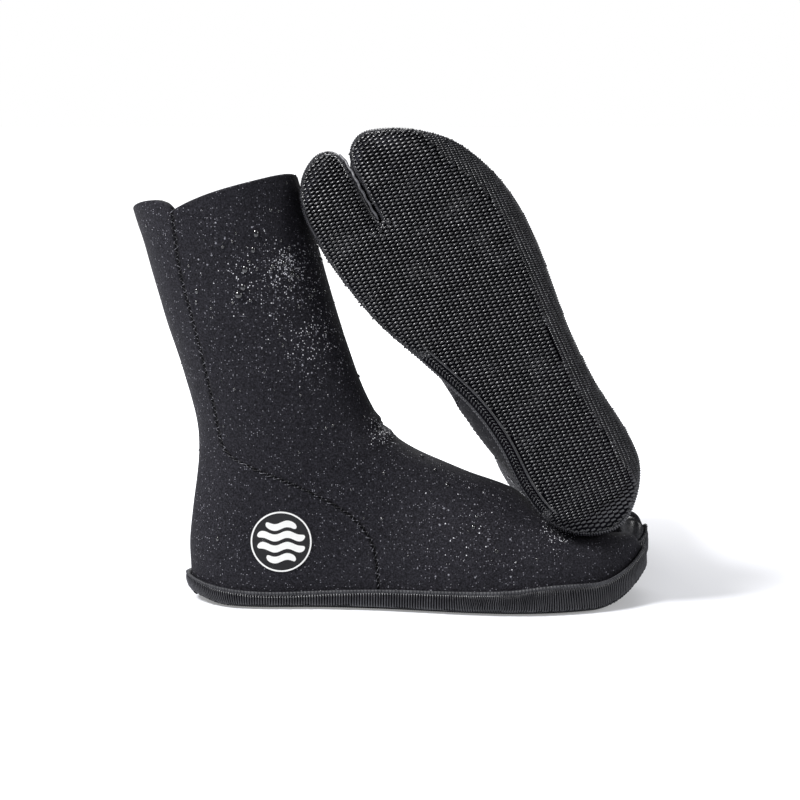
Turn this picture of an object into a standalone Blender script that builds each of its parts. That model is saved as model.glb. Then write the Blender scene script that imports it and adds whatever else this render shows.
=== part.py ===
"""A pair of split-toe neoprene water boots: one stands, the other leans on it, sole outwards.

Every boot is described in its own frame: x runs from the heel to the toes, y from the outer
(lateral) side at minus y to the inner (medial) side, z up from the ground. Lengths are in
millimetres until add_piece() writes them in metres. The left boot is the mirrored right one.
"""
import math

import bmesh
import bpy
import numpy as np
from mathutils import Matrix, Vector

MM = 0.001
NOTHING = 1e-6                 # a length in millimetres that counts as zero
SPLINE_STEPS = 10              # straight pieces between two points of a spline
KEPT_SHARE = 0.985             # a moved point closer than this share of its move is dropped

# Sole outline, anticlockwise from the root of the toe split: (x, outward on the outer side)
SPLIT_ROOT = (230.5, -17.3)
MAIN_LOBE = [(234, -16.3), (250, -15.2), (266, -13.8), (275.5, -8.8), (279.5, 1), (276, 12),
             (264, 29.5), (246, 44.5)]
OUTER_SIDE = [(222, 53), (198, 55.5), (172, 53), (148, 47.8), (118, 41), (84, 36.8),
              (48, 36.4), (24, 31.6), (7, 17.5)]
INNER_SIDE = [(0, 0), (8, -20.5), (26, -32.6), (52, -35.4), (84, -32.2), (112, -33.8),
              (146, -42), (182, -51.6), (216, -55.4)]
BIG_TOE_LOBE = [(243, -55), (263, -51.4), (277, -41.5), (283, -27.5), (278.5, -17.2),
                (266, -15.9), (250, -17.3), (234, -18.3)]

# Side view of the upper: (x, z)
COLLAR_BACK = (-28.5, 239.5)
COLLAR_FRONT = (69.5, 258.5)
BACK_LINE = [COLLAR_BACK, (-12.6, 180), (5.2, 121), (9.2, 90), (4.9, 54), (3.0, 34), (3.6, 16),
             (3.4, 4.8)]
FRONT_LINE = [COLLAR_FRONT, (82, 210), (100, 150), (112, 119), (124, 101.5), (142, 89),
              (170, 77), (199, 66.2), (225, 49.5), (240, 42.5)]
SEAM_LINE = [(-2, 241), (1, 204), (8, 174), (15, 144), (20, 120), (26, 94), (44, 83), (70, 72.5),
             (92, 61), (106, 50), (115, 34), (118, 4.8)]
MAIN_LOBE_TOP = [(196, 66), (212, 55.5), (225, 47), (240, 42), (255, 41), (266, 40), (272, 37),
                 (276, 31)]
BIG_TOE_TOP = [(196, 57), (212, 49), (225, 44.5), (240, 44.5), (255, 46), (268, 47.5),
               (276, 45), (280, 37)]
SHAFT_HALF_WIDTH = [(4.8, 34), (90, 34), (115, 35), (160, 38), (200, 40), (257, 41.5)]   # z, y

NOTCH_X, NOTCH_DEPTH = -1.5, 8.4               # V notch of the collar at the seam
NOTCH_REACH_BACK, NOTCH_REACH_FRONT = 5.5, 19.0
COLLAR_SLANT = 9.0             # the collar is this much lower on the inner side
COLLAR_SLANT_REACH = 30.0      # between these distances from the middle, -y and +y

WAIST_PULL, WAIST_HEIGHT = 0.07, 90.0          # the foot narrows by this share below the height
INSTEP_BULGE, BULGE_X, BULGE_REACH = 16.0, 107.0, 56.0         # on the inner side, along x
BULGE_RISES, BULGE_FADES = (7.0, 52.0), (60.0, 112.0)          # and between these z
FOOT_UP_TO, SHAFT_FROM = 50.0, 115.0           # z between which the foot becomes the shaft

NEOPRENE = 3.0
GAP = 0.3                      # clearance between pieces that touch on the real boot
PLATE_TOP = 4.5                # thickness of the tread plate
FOOT_BASE = PLATE_TOP + GAP    # underside of the upper and of the insole
INSOLE, INSOLE_PLAY = 3.0, 4.7
SPRING_START, SPRING_RATE = 244.0, 0.0138      # the sole rises ahead of this x
SPRING_STEP, CUT_TOLERANCE = 6.0, 0.01         # its flat faces are cut this far apart to bend
PLATE_INSET, PLATE_ROUNDING, ROUNDING_RINGS = 1.2, 3.0, 4
BAND_THICKNESS = 2.8
BAND_FACE = [(0.0, 0.55), (0.3, 0.8), (1.3, 1.0)]     # depth, share of the band's height
BAND_FOOT_INSET, BAND_LIP_DROP = 1.0, 0.6
UPPER_PLAY = 0.8
UPPER_INSET = BAND_THICKNESS + UPPER_PLAY
BAND_HEIGHT = [(0, 16), (20, 12), (56, 10), (118, 12.4), (187, 14), (226, 17.5), (282, 16.5)]

ANKLE = (62.0, 90.0)           # x, z of the ankle axis, along y
FLEX_TOP = {"back": 101.0, "middle": 91.7, "front": 111.0}       # z of the shaft's lower edge
FLEX_BASE = {"back": 78.5, "middle": 88.3, "front": 87.0}        # z of the foot's upper edge

FAN_END = 196.0                # x where the sections of the foot stand upright
MIDDLE_FADES = 0.35            # by this share of the foot its sections are straight
SPLIT_START = 199.0            # x where the groove between the lobes begins to deepen
ROOT_FULLNESS, TIP_FULLNESS = 2.0, 2.5         # superellipse exponents of the toe lobes
PROFILE_POINTS = 61            # of a lobe's dense section, before its columns are placed
FULL_FROM = 250.0              # x ahead of which the lobes have the fuller section

REAR_COLUMNS, FRONT_COLUMNS = 4, 8             # grid columns on each side of the boot
SHAFT_ROWS, FLEX_ROWS, FOREFOOT_ROWS, LOBE_ROWS = 7, 2, 5, 8
HEEL_ROWS, FOOT_ROWS = 5, 16   # rows down the heel, and down the heel and along the sole
HEEL_SPREAD = 1.6              # the rows along the sole lie closer together at the heel
SEAM_END_ROWS = 0.6            # how far the rows at the seam's lower end lie from it
SOLE_STRIDE = 4                # the sole's pieces take every fourth point of the outline
SHARP_ANGLE = math.radians(40)
PAST_END = 0.04                # how far past a panel's end its normals look
HALVINGS = 40                  # steps of the search for the seam on a section
RIM_TOLERANCE = 1.5            # a point this close to the sole is on the upper's lower rim
COLLAR_TOLERANCE = 0.01

TAPE_HALF_WIDTH, TAPE_THICKNESS, TAPE_GAP = 5.0, 0.8, 1.0
TAPE_ROOM = TAPE_HALF_WIDTH + 4.0              # between the back or the sole and the seam
BADGE_GAP = 0.7
BADGE_CENTRE, BADGE_RADIUS, BADGE_THICKNESS = (59.6, 39.6), 18.5, 0.8
BADGE_RINGS, BADGE_SPOKES = 3, 24
GUARD_THICKNESS, GUARD_GAP, GUARD_ROWS, GUARD_ROWS_OFF_TIP = 1.2, 0.9, 5, 2
GUARD_MARGIN = {"low": 1.0, "top": 7.0}        # from the band's edge, and under the lobe's top

STANDING_ORIGIN_X = 130.0      # the row's origin lies under this x of the standing boot
LEAN_ANGLE = math.radians(33.3)                # of the leaning boot's length from the vertical
LEAN_TWIST = math.radians(3.0)                 # about its own length
LEAN_HEEL = (130.0, -36.0, 46.2)               # its heel end, in the row's frame


# ---------------------------------------------------------------- curves

def spline(points, closed=False):
    """A Catmull-Rom curve through the points, as a dense array."""
    p = np.array(points, float)
    if closed:
        p = np.vstack([p[-1], p, p[0], p[1]])
    else:
        p = np.vstack([2 * p[0] - p[1], p, 2 * p[-1] - p[-2]])
    t = (np.arange(SPLINE_STEPS) / SPLINE_STEPS)[:, None]
    out = []
    for a, b, c, d in zip(p[:-3], p[1:-2], p[2:-1], p[3:]):
        out.append(0.5 * (2 * b + (c - a) * t + (2 * a - 5 * b + 4 * c - d) * t ** 2
                          + (3 * b - a - 3 * c + d) * t ** 3))
    curve = np.vstack(out)
    return curve if closed else np.vstack([curve, p[-2]])


def function_of(points, key=0):
    """The curve through the points, read as the other coordinate against coordinate key."""
    c = spline(points)
    order = np.argsort(c[:, key])
    return lambda value: np.interp(value, c[order, key], c[order, 1 - key])


def smooth(value, low, high):
    k = min(max((value - low) / (high - low), 0.0), 1.0)
    return k * k * (3 - 2 * k)


def outward_normals(loop):
    """Unit normals of a closed loop, on the right of its direction."""
    d = np.roll(loop, -1, axis=0) - np.roll(loop, 1, axis=0)
    n = np.column_stack([d[:, 1], -d[:, 0]])
    return n / np.linalg.norm(n, axis=1)[:, None]


def sole_outline():
    """The sole's outline in (x, y), as a closed loop."""
    points = [SPLIT_ROOT] + MAIN_LOBE + OUTER_SIDE + INNER_SIDE + BIG_TOE_LOBE
    loop = spline(points, closed=True)
    return np.column_stack([loop[:, 0], -loop[:, 1]])


def inset(loop, distance):
    """The loop moved inwards, without the stretches that would cross themselves."""
    moved = loop - outward_normals(loop) * distance
    nearest = np.array([np.linalg.norm(loop - p, axis=1).min() for p in moved])
    return moved[nearest > distance * KEPT_SHARE]


OUTLINE = sole_outline()
if np.sum(OUTLINE[:, 0] * np.roll(OUTLINE[:, 1], -1) - OUTLINE[:, 1]
          * np.roll(OUTLINE[:, 0], -1)) < 0:
    OUTLINE = OUTLINE[::-1]


TOES_FROM, LOBE_LINE = 215.0, -SPLIT_ROOT[1]   # the split lies ahead of x and along y


class Plan:
    """The plan of one inset of the sole, as four edges that are functions of x."""

    def __init__(self, distance):
        loop = inset(OUTLINE, distance)
        toes = loop[:, 0] > TOES_FROM
        split = toes & (loop[:, 1] > 0) & (loop[:, 1] < 2 * LOBE_LINE)
        root = np.where(split)[0][np.argmin(loop[split, 0])]
        loop = np.roll(loop, -root, axis=0)
        big = np.where(loop[:, 1] > LOBE_LINE, loop[:, 0], 0).argmax()
        main = np.where(loop[:, 1] < LOBE_LINE, loop[:, 0], 0).argmax()
        heel = loop[:, 0].argmin()
        first, last = min(big, main), max(big, main)
        runs = [loop[:first + 1], loop[first:heel + 1], loop[heel:last + 1],
                np.vstack([loop[last:], loop[:1]])]
        if big < main:
            runs = runs[::-1]
        names = ("main_inner", "outer", "inner", "big_inner")
        self.edges = {n: r[np.argsort(r[:, 0])] for n, r in zip(names, runs)}
        self.root_x, self.heel_x = loop[0, 0], loop[heel, 0]
        self.tip = {"main": loop[main], "big": loop[big]}

    def y(self, edge, x):
        run = self.edges[edge]
        return float(np.interp(x, run[:, 0], run[:, 1]))


UPPER_PLAN = Plan(UPPER_INSET)
back_x = function_of(BACK_LINE, key=1)
front_x = function_of(FRONT_LINE, key=1)
ridge_z = function_of(FRONT_LINE)
seam_x = function_of(SEAM_LINE, key=1)
main_top = function_of(MAIN_LOBE_TOP)
big_top = function_of(BIG_TOE_TOP)
shaft_half = function_of(SHAFT_HALF_WIDTH)
band_height = function_of(BAND_HEIGHT)


def spring(x):
    """Rise of the sole ahead of the ball of the foot."""
    return SPRING_RATE * max(x - SPRING_START, 0.0) ** 2


# ---------------------------------------------------------------- surface of the upper

def half_width(x, z, side):
    """Half width of the upper at a point of its side view; side -1 is outer, 1 is inner."""
    x_back, x_front = back_x(z), front_x(z)
    ahead = x - x_back
    if ahead < NOTHING:
        return 0.0
    across = (2 * x - x_back - x_front) / (x_front - x_back)
    shaft = shaft_half(z) * math.sqrt(max(0.0, 1 - across ** 2))
    edge = UPPER_PLAN.y("outer" if side < 0 else "inner", UPPER_PLAN.heel_x + ahead)
    up = (z - FOOT_BASE) / (ridge_z(x) - FOOT_BASE)
    roundness = max(0.0, 1 - up ** 2)
    waist = 1 - WAIST_PULL * math.sin(math.pi * min(z / WAIST_HEIGHT, 1.0))
    foot = abs(edge) * waist * math.sqrt(roundness)
    blend = smooth(z, FOOT_UP_TO, SHAFT_FROM)
    bulge = 0.0
    if side > 0:
        bulge = INSTEP_BULGE * roundness * math.exp(-((x - BULGE_X) / BULGE_REACH) ** 2)
        bulge *= smooth(z, *BULGE_RISES) * (1 - smooth(z, *BULGE_FADES))
    return (1 - blend) * foot + blend * shaft + bulge


class Section:
    """A line across the side view, from the back or the sole, over a middle, to the front."""

    def __init__(self, back, middle, front):
        self.points = [np.array(p, float) for p in (back, middle, front)]
        self.length = sum(np.linalg.norm(b - a) for a, b in zip(self.points, self.points[1:]))

    def at(self, t):
        back, middle, front = self.points
        if t < 0.5:
            return back + (middle - back) * 2 * t
        return middle + (front - middle) * (2 * t - 1)

    def surface(self, t, side):
        x, z = self.at(t)
        width = 0.0 if t >= 1 else half_width(x, z, side)
        return (x, side * width, z)

    def seam_t(self):
        """Where the seam crosses the line: 0 if the whole line lies in front of it."""
        low, high = 0.0, 1.0
        if self.at(0.0)[0] >= seam_x(self.at(0.0)[1]):
            return 0.0
        for _ in range(HALVINGS):
            t = (low + high) / 2
            x, z = self.at(t)
            low, high = (t, high) if x < seam_x(z) else (low, t)
        return low


def shaft_section(r):
    """r = 0 at the collar, 1 at the shaft's lower edge above the ankle."""
    z_back = COLLAR_BACK[1] + (FLEX_TOP["back"] - COLLAR_BACK[1]) * r
    z_front = COLLAR_FRONT[1] + (FLEX_TOP["front"] - COLLAR_FRONT[1]) * r
    back, front = (back_x(z_back), z_back), (front_x(z_front), z_front)
    straight = (np.array(back) + np.array(front)) / 2
    edge = np.array([ANKLE[0], FLEX_TOP["middle"]])
    return Section(back, straight + (edge - straight) * r ** 2, front)


def flex_section(r):
    """r = 0 just under the shaft, 1 just above the foot."""
    z = {k: FLEX_TOP[k] - GAP + (FLEX_BASE[k] - FLEX_TOP[k] + 2 * GAP) * r for k in FLEX_TOP}
    return Section((back_x(z["back"]), z["back"]), (ANKLE[0], z["middle"]),
                   (front_x(z["front"]), z["front"]))


def foot_section(r):
    """r = 0 at the foot's upper edge, 1 upright at FAN_END."""
    corner = HEEL_ROWS / FOOT_ROWS
    if r <= corner:
        z_back = FLEX_BASE["back"] + (FOOT_BASE - FLEX_BASE["back"]) * r / corner
        back = (back_x(z_back), z_back)
    else:
        heel = back_x(FOOT_BASE)
        back = (heel + (FAN_END - heel) * ((r - corner) / (1 - corner)) ** HEEL_SPREAD,
                FOOT_BASE)
    start = front_x(FLEX_BASE["front"])
    x_front = start + (FAN_END - start) * r
    front = (x_front, ridge_z(x_front))
    straight = (np.array(back) + np.array(front)) / 2
    edge = np.array([ANKLE[0], FLEX_BASE["middle"]])
    return Section(back, straight + (edge - straight) * (1 - smooth(r, 0.0, MIDDLE_FADES)), front)


def spread(low, high, count):
    """Values of t from low to high, close together where the surface turns over."""
    angles = np.linspace(math.acos(1 - 2 * low), math.acos(1 - 2 * high), count + 1)
    return (1 - np.cos(angles)) / 2


def notch(x):
    """How far the collar dips near the seam."""
    reach = NOTCH_REACH_BACK if x < NOTCH_X else NOTCH_REACH_FRONT
    return NOTCH_DEPTH * math.exp(-abs(x - NOTCH_X) / reach)


# ---------------------------------------------------------------- sheets and solids

class Sheet:
    """An open surface made of grids that share their common points.

    A ghost grid continues the surface past an edge: it turns the normals there, as the
    neighbouring panel does, and isn't part of the solid.
    """

    def __init__(self):
        self.verts, self.faces, self.ghosts, self.index = [], [], [], {}

    def vertex(self, p):
        key = tuple(np.round(p, 3) + 0.0)
        if key not in self.index:
            self.index[key] = len(self.verts)
            self.verts.append(np.array(p, float))
        return self.index[key]

    def grid(self, rows, ghost=False):
        ids = [[self.vertex(p) for p in row] for row in rows]
        for upper, lower in zip(ids, ids[1:]):
            for a, b, c, d in zip(upper, lower, lower[1:], upper[1:]):
                face = list(dict.fromkeys((a, b, c, d)))
                if len(face) > 2:
                    (self.ghosts if ghost else self.faces).append(face)

    def normals(self):
        v = np.array(self.verts)
        n = np.zeros_like(v)
        for f in self.faces + self.ghosts:
            a, b = v[f[2]] - v[f[0]], v[f[-1]] - v[f[1]]
            n[f] += np.cross(a, b)
        on_sole = [abs(z - FOOT_BASE - spring(x)) < RIM_TOLERANCE for x, _, z in v]
        n[on_sole, 2] = 0.0
        return n / np.linalg.norm(n, axis=1)[:, None]

    def thicken(self, outer, inner):
        """A closed solid between the sheet moved out by outer and by inner."""
        v, n = np.array(self.verts), self.normals()
        count = len(v)
        verts = np.vstack([v + n * outer, v + n * inner])
        faces = [list(f) for f in self.faces]
        faces += [[i + count for i in reversed(f)] for f in self.faces]
        edges = {}
        for f in self.faces:
            for a, b in zip(f, f[1:] + f[:1]):
                edges[(a, b)] = 1
        for a, b in edges:
            if (b, a) not in edges:
                faces.append([b, a, a + count, b + count])
        used = sorted({i for f in faces for i in f})
        place = {old: new for new, old in enumerate(used)}
        return verts[used], [[place[i] for i in f] for f in faces]


def gap_t(section):
    return GAP / 2 / section.length


def rear_t(section):
    """Places of the rear panel's columns, from the back line to the seam, and one past it."""
    seam = section.seam_t()
    t = list(spread(0.0, seam - gap_t(section), REAR_COLUMNS))
    return t, [t[-1], 2 * t[-1] - t[-2]]


def front_t(section):
    """Places of the front panel's columns, from the seam or the sole, and one behind it."""
    seam = section.seam_t()
    t = list(spread(seam + gap_t(section) if seam > 0 else 0.0, 1.0, FRONT_COLUMNS))
    return t, [seam / 2 if seam > 0 else 0.0, t[0]]


def panel(sections, columns, before=None, after=None):
    """Both sides of a panel. before and after are the sections that follow past its ends."""
    sheet = Sheet()
    for side in (-1, 1):
        def rows(some, part):
            lines = [[s.surface(t, side) for t in columns(s)[part]] for s in some]
            return lines if side < 0 else [line[::-1] for line in lines]
        sheet.grid(rows(sections, 0))
        sheet.grid(rows(sections, 1), ghost=True)
        if before:
            sheet.grid(rows([before, sections[0]], 0), ghost=True)
        if after:
            sheet.grid(rows([sections[-1], after], 0), ghost=True)
    return sheet


def dip_collar(sheet):
    """Moves the collar's edge down to its scalloped line, and lower on the inner side."""
    slope = (COLLAR_FRONT[1] - COLLAR_BACK[1]) / (COLLAR_FRONT[0] - COLLAR_BACK[0])
    for v in sheet.verts:
        if abs(v[2] - COLLAR_BACK[1] - (v[0] - COLLAR_BACK[0]) * slope) < COLLAR_TOLERANCE:
            slant = smooth(v[1], -COLLAR_SLANT_REACH, COLLAR_SLANT_REACH)
            v[2] -= notch(v[0]) + COLLAR_SLANT * slant


def dome_row(x, columns):
    """An upright section of the foot, from its outer edge over the ridge to its inner edge."""
    s = Section((x, FOOT_BASE), (x, (FOOT_BASE + ridge_z(x)) / 2), (x, ridge_z(x)))
    outer = [s.surface(t, -1) for t in spread(0.0, 1.0, columns)]
    inner = [s.surface(t, 1) for t in spread(0.0, 1.0, columns)]
    return np.array(outer + inner[-2::-1])


def lobe_profile(x, y_from, y_to, top):
    """A dense section of a toe lobe, which fades into the foot's dome behind the split."""
    base = FOOT_BASE + spring(x)
    power = 2 / (ROOT_FULLNESS + (TIP_FULLNESS - ROOT_FULLNESS)
                 * smooth(x, UPPER_PLAN.root_x, FULL_FROM))
    angle = np.linspace(0, math.pi, PROFILE_POINTS)
    across = np.copysign(np.abs(np.cos(angle)) ** power, np.cos(angle))
    y = (y_from + y_to) / 2 - across * (y_to - y_from) / 2
    z = base + (top - base) * np.abs(np.sin(angle)) ** power
    split = smooth(x, SPLIT_START, UPPER_PLAN.root_x)
    if split < 1:
        dome = dome_row(x, PROFILE_POINTS)
        z = z * split + np.interp(y, dome[:, 1], dome[:, 2]) * (1 - split)
    return np.column_stack([np.full_like(y, x), y, z])


def arc_fractions(row):
    length = np.concatenate([[0], np.cumsum(np.linalg.norm(np.diff(row, axis=0), axis=1))])
    return length / max(length[-1], 1e-9)


def at_fractions(profile, fractions):
    along = arc_fractions(profile)
    return np.column_stack([np.interp(fractions, along, profile[:, k]) for k in range(3)])


def forefoot_grids():
    """The grids of the toe box: the main lobe with the ridge, then the big toe's lobe.

    Behind the split they share the points of a groove, which deepens down to the sole.
    """
    first = dome_row(FAN_END, FRONT_COLUMNS)
    cut = FRONT_COLUMNS + 2
    rows = {"main": [first[:cut]], "big": [first[cut - 1:]]}
    root = UPPER_PLAN.root_x
    for k in range(1, FOREFOOT_ROWS + LOBE_ROWS + 1):
        for name, top in (("main", main_top), ("big", big_top)):
            if k <= FOREFOOT_ROWS:
                x = FAN_END + (root - FAN_END) * k / FOREFOOT_ROWS
            else:
                reach = (1 - math.cos((k - FOREFOOT_ROWS) / LOBE_ROWS * math.pi)) / 2
                x = root + (UPPER_PLAN.tip[name][0] - root) * reach
            groove = UPPER_PLAN.y(name + "_inner", x) if x > root else -SPLIT_ROOT[1]
            ends = (UPPER_PLAN.y("outer", x), groove)
            if name == "big":
                ends = (groove, UPPER_PLAN.y("inner", x))
            even = np.linspace(0, 1, len(rows[name][0]))
            part = smooth(x, FAN_END, root)
            fractions = arc_fractions(rows[name][0]) * (1 - part) + even * part
            rows[name].append(at_fractions(lobe_profile(x, *ends, top(x)), fractions))
    return rows["main"], rows["big"]


# ---------------------------------------------------------------- pieces of a boot

def foot_r(x):
    """The section of the foot whose lower end is at x on the sole."""
    corner, heel = HEEL_ROWS / FOOT_ROWS, back_x(FOOT_BASE)
    return corner + (1 - corner) * ((x - heel) / (FAN_END - heel)) ** (1 / HEEL_SPREAD)


def foot_sections():
    """The foot's sections, with two close to the seam's lower end in place of the nearest."""
    seam_end = SEAM_LINE[-1][0]
    ends = [foot_r(seam_end - SEAM_END_ROWS), foot_r(seam_end + SEAM_END_ROWS)]
    even = [k / FOOT_ROWS for k in range(FOOT_ROWS + 1)]
    apart = [r for r in even if abs(r - foot_r(seam_end)) > 0.5 / FOOT_ROWS]
    return [foot_section(r) for r in sorted(apart + ends)]


def vamp_panel():
    sheet = panel(foot_sections(), front_t, before=foot_section(-PAST_END))
    for rows in forefoot_grids():
        sheet.grid(rows)
    return sheet.thicken(0.0, -NEOPRENE)


def heel_panel():
    sections = [s for s in foot_sections() if s.seam_t() > 0]
    return panel(sections, rear_t, before=foot_section(-PAST_END)).thicken(0.0, -NEOPRENE)


def shaft_sections():
    return [shaft_section(k / SHAFT_ROWS) for k in range(SHAFT_ROWS + 1)]


def shaft_panel(columns):
    sheet = panel(shaft_sections(), columns, after=shaft_section(1 + PAST_END))
    dip_collar(sheet)
    return sheet.thicken(0.0, -NEOPRENE)


def flex_panel(columns):
    sections = [flex_section(k / FLEX_ROWS) for k in range(FLEX_ROWS + 1)]
    sheet = panel(sections, columns, before=shaft_section(1 - PAST_END),
                  after=foot_section(PAST_END))
    return sheet.thicken(0.0, -NEOPRENE)


def seam_tape(sections, side):
    """A tape on the inside of the seam."""
    rows = []
    for s in sections:
        seam, reach = s.seam_t(), TAPE_HALF_WIDTH / s.length
        row = [s.surface(t, side) for t in (seam - reach, seam, seam + reach)]
        rows.append(row if side < 0 else row[::-1])
    sheet = Sheet()
    sheet.grid(rows)
    outer = -NEOPRENE - TAPE_GAP
    return sheet.thicken(outer, outer - TAPE_THICKNESS)


def badge():
    """A thin disc laid on the outer side of the heel."""
    sheet = Sheet()
    rows = []
    for k in range(BADGE_RINGS + 1):
        row, radius = [], BADGE_RADIUS * k / BADGE_RINGS
        for j in range(BADGE_SPOKES + 1):
            angle = 2 * math.pi * j / BADGE_SPOKES
            x = BADGE_CENTRE[0] + radius * math.cos(angle)
            z = BADGE_CENTRE[1] + radius * math.sin(angle)
            row.append((x, -half_width(x, z, -1), z))
        rows.append(row)
    sheet.grid(rows)
    return sheet.thicken(BADGE_GAP + BADGE_THICKNESS, BADGE_GAP)


def band():
    """The sidewall: one band round the whole outline, through the split as well."""
    normals = outward_normals(OUTLINE)[::SOLE_STRIDE]
    rows = []
    for p, n in zip(OUTLINE[::SOLE_STRIDE], normals):
        height = band_height(p[0])
        profile = [(depth, share * height) for depth, share in BAND_FACE]
        profile = ([(BAND_FOOT_INSET, FOOT_BASE)] + profile
                   + [(BAND_THICKNESS, height - BAND_LIP_DROP), (BAND_THICKNESS, FOOT_BASE)])
        rows.append([(*(p - n * depth), z + spring(p[0])) for depth, z in profile])
    verts = [q for row in rows for q in row]
    count, size = len(rows), len(rows[0])
    faces = []
    for i in range(count):
        for j in range(size):
            a, b = i * size + j, i * size + (j + 1) % size
            c, d = (i + 1) % count * size + (j + 1) % size, (i + 1) % count * size + j
            faces.append([a, d, c, b])
    return np.array(verts), faces


def plate(outline, rings):
    """A plate with the given outline: rings are (inset, z) from the bottom up."""
    loop = outline[::SOLE_STRIDE]
    normals = outward_normals(outline)[::SOLE_STRIDE]
    bm = bmesh.new()
    layers = []
    for depth, z in rings:
        layers.append([bm.verts.new((*(p - n * depth), z)) for p, n in zip(loop, normals)])
    for low, high in zip(layers, layers[1:]):
        for j in range(len(loop)):
            k = (j + 1) % len(loop)
            bm.faces.new((low[j], low[k], high[k], high[j]))
    bm.faces.new(layers[0][::-1])
    bm.faces.new(layers[-1])
    for x in np.arange(SPRING_START, OUTLINE[:, 0].max(), SPRING_STEP):
        geometry = bm.verts[:] + bm.edges[:] + bm.faces[:]
        bmesh.ops.bisect_plane(bm, geom=geometry, dist=CUT_TOLERANCE, plane_co=(x, 0, 0),
                               plane_no=(1, 0, 0))
    bmesh.ops.triangulate(bm, faces=[f for f in bm.faces if len(f.verts) > 4])
    bm.verts.index_update()
    verts = np.array([(v.co.x, v.co.y, v.co.z + spring(v.co.x)) for v in bm.verts])
    faces = [[v.index for v in f.verts] for f in bm.faces]
    bm.free()
    return verts, faces


def outsole():
    edge = [(PLATE_INSET + PLATE_ROUNDING * (1 - math.sin(a)), PLATE_ROUNDING * (1 - math.cos(a)))
            for a in np.linspace(0, math.pi / 2, ROUNDING_RINGS)]
    return plate(OUTLINE, edge + [(PLATE_INSET, PLATE_TOP)])


def insole():
    reach = UPPER_INSET + NEOPRENE + INSOLE_PLAY
    return plate(inset(OUTLINE, reach), [(0.0, FOOT_BASE), (0.0, FOOT_BASE + INSOLE)])


# ---------------------------------------------------------------- objects

def material(name, colour, roughness, metallic=0.0):
    m = bpy.data.materials.new(name)
    m.use_nodes = True
    shader = m.node_tree.nodes["Principled BSDF"]
    shader.inputs["Base Color"].default_value = (*colour, 1.0)
    shader.inputs["Roughness"].default_value = roughness
    shader.inputs["Metallic"].default_value = metallic
    return m


def add_empty(name, matrix, parent=None):
    empty = bpy.data.objects.new(name, None)
    bpy.context.scene.collection.objects.link(empty)
    empty.parent = parent
    empty.matrix_local = matrix
    return empty


def add_piece(name, solid, surface, parent, origin, mirror):
    """An object whose mesh is the solid, told from the parent's place in the boot."""
    verts, faces = solid
    co = (np.array(verts) - np.array(origin)) * MM
    co[:, 1] *= mirror
    mesh = bpy.data.meshes.new(name)
    mesh.from_pydata(co.tolist(), [], [f if mirror > 0 else f[::-1] for f in faces])
    mesh.materials.append(surface)
    mesh.validate()
    mesh.shade_smooth()
    mesh.set_sharp_from_angle(angle=SHARP_ANGLE)
    piece = bpy.data.objects.new(name, mesh)
    bpy.context.scene.collection.objects.link(piece)
    piece.parent = parent


def split_guard():
    """Rubber on the walls of the split: a strip from one lobe, round the root, to the other."""
    main_rows, big_rows = forefoot_grids()
    rows = []
    for level in np.linspace(1.0, 0.0, GUARD_ROWS + 1):
        row = []
        for grid, order in ((main_rows, -1), (big_rows, 1)):
            lobe = [wall_point(np.array(r), level, grid is main_rows)
                    for r in grid[FOREFOOT_ROWS + 1:-GUARD_ROWS_OFF_TIP]]
            row += lobe[::order]
        rows.append(row)
    sheet = Sheet()
    sheet.grid(rows)
    return sheet.thicken(GUARD_GAP + GUARD_THICKNESS, GUARD_GAP)


def wall_point(row, level, is_main):
    """The point of a lobe's wall in the split, from the band's edge (0) to near its top (1)."""
    top = row[:, 2].argmax()
    wall = row[top:] if is_main else row[:top + 1][::-1]
    low = BAND_HEIGHT[-1][1] + spring(row[0, 0]) + GUARD_MARGIN["low"]
    z = low + (wall[0, 2] - GUARD_MARGIN["top"] - low) * level
    return [row[0, 0], np.interp(z, wall[::-1, 2], wall[::-1, 1]), z]


def build_boot(side, frame, mirror, rubber, neoprene, tape, print_ink):
    """All the pieces of one boot in its frame; the shaft's pieces hang on the ankle's axis."""
    foot = add_empty(side + "_foot_frame", Matrix.Identity(4), frame)
    ankle_at = Vector((ANKLE[0], 0.0, ANKLE[1]))
    ankle = add_empty(side + "_ankle_axis", Matrix.Translation(ankle_at * MM), frame)
    foot_tape = [s for s in foot_sections() if s.seam_t() * s.length > TAPE_ROOM][1:]
    pieces = [
        ("outsole", outsole(), rubber, foot),
        ("sidewall", band(), rubber, foot),
        ("insole", insole(), neoprene, foot),
        ("toe_split_guard", split_guard(), rubber, foot),
        ("vamp_panel", vamp_panel(), neoprene, foot),
        ("heel_panel", heel_panel(), neoprene, foot),
        ("shin_panel", shaft_panel(front_t), neoprene, ankle),
        ("calf_panel", shaft_panel(rear_t), neoprene, ankle),
        ("instep_flex", flex_panel(front_t), neoprene, foot),
        ("achilles_flex", flex_panel(rear_t), neoprene, foot),
        ("lateral_foot_tape", seam_tape(foot_tape, -1), tape, foot),
        ("medial_foot_tape", seam_tape(foot_tape, 1), tape, foot),
        ("lateral_shaft_tape", seam_tape(shaft_sections()[1:-1], -1), tape, ankle),
        ("medial_shaft_tape", seam_tape(shaft_sections()[1:-1], 1), tape, ankle),
        ("heel_badge", badge(), print_ink, foot),
    ]
    for name, solid, surface, parent in pieces:
        origin = ankle_at if parent is ankle else (0.0, 0.0, 0.0)
        add_piece(f"{side}_{name}", solid, surface, parent, origin, mirror)


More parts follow.
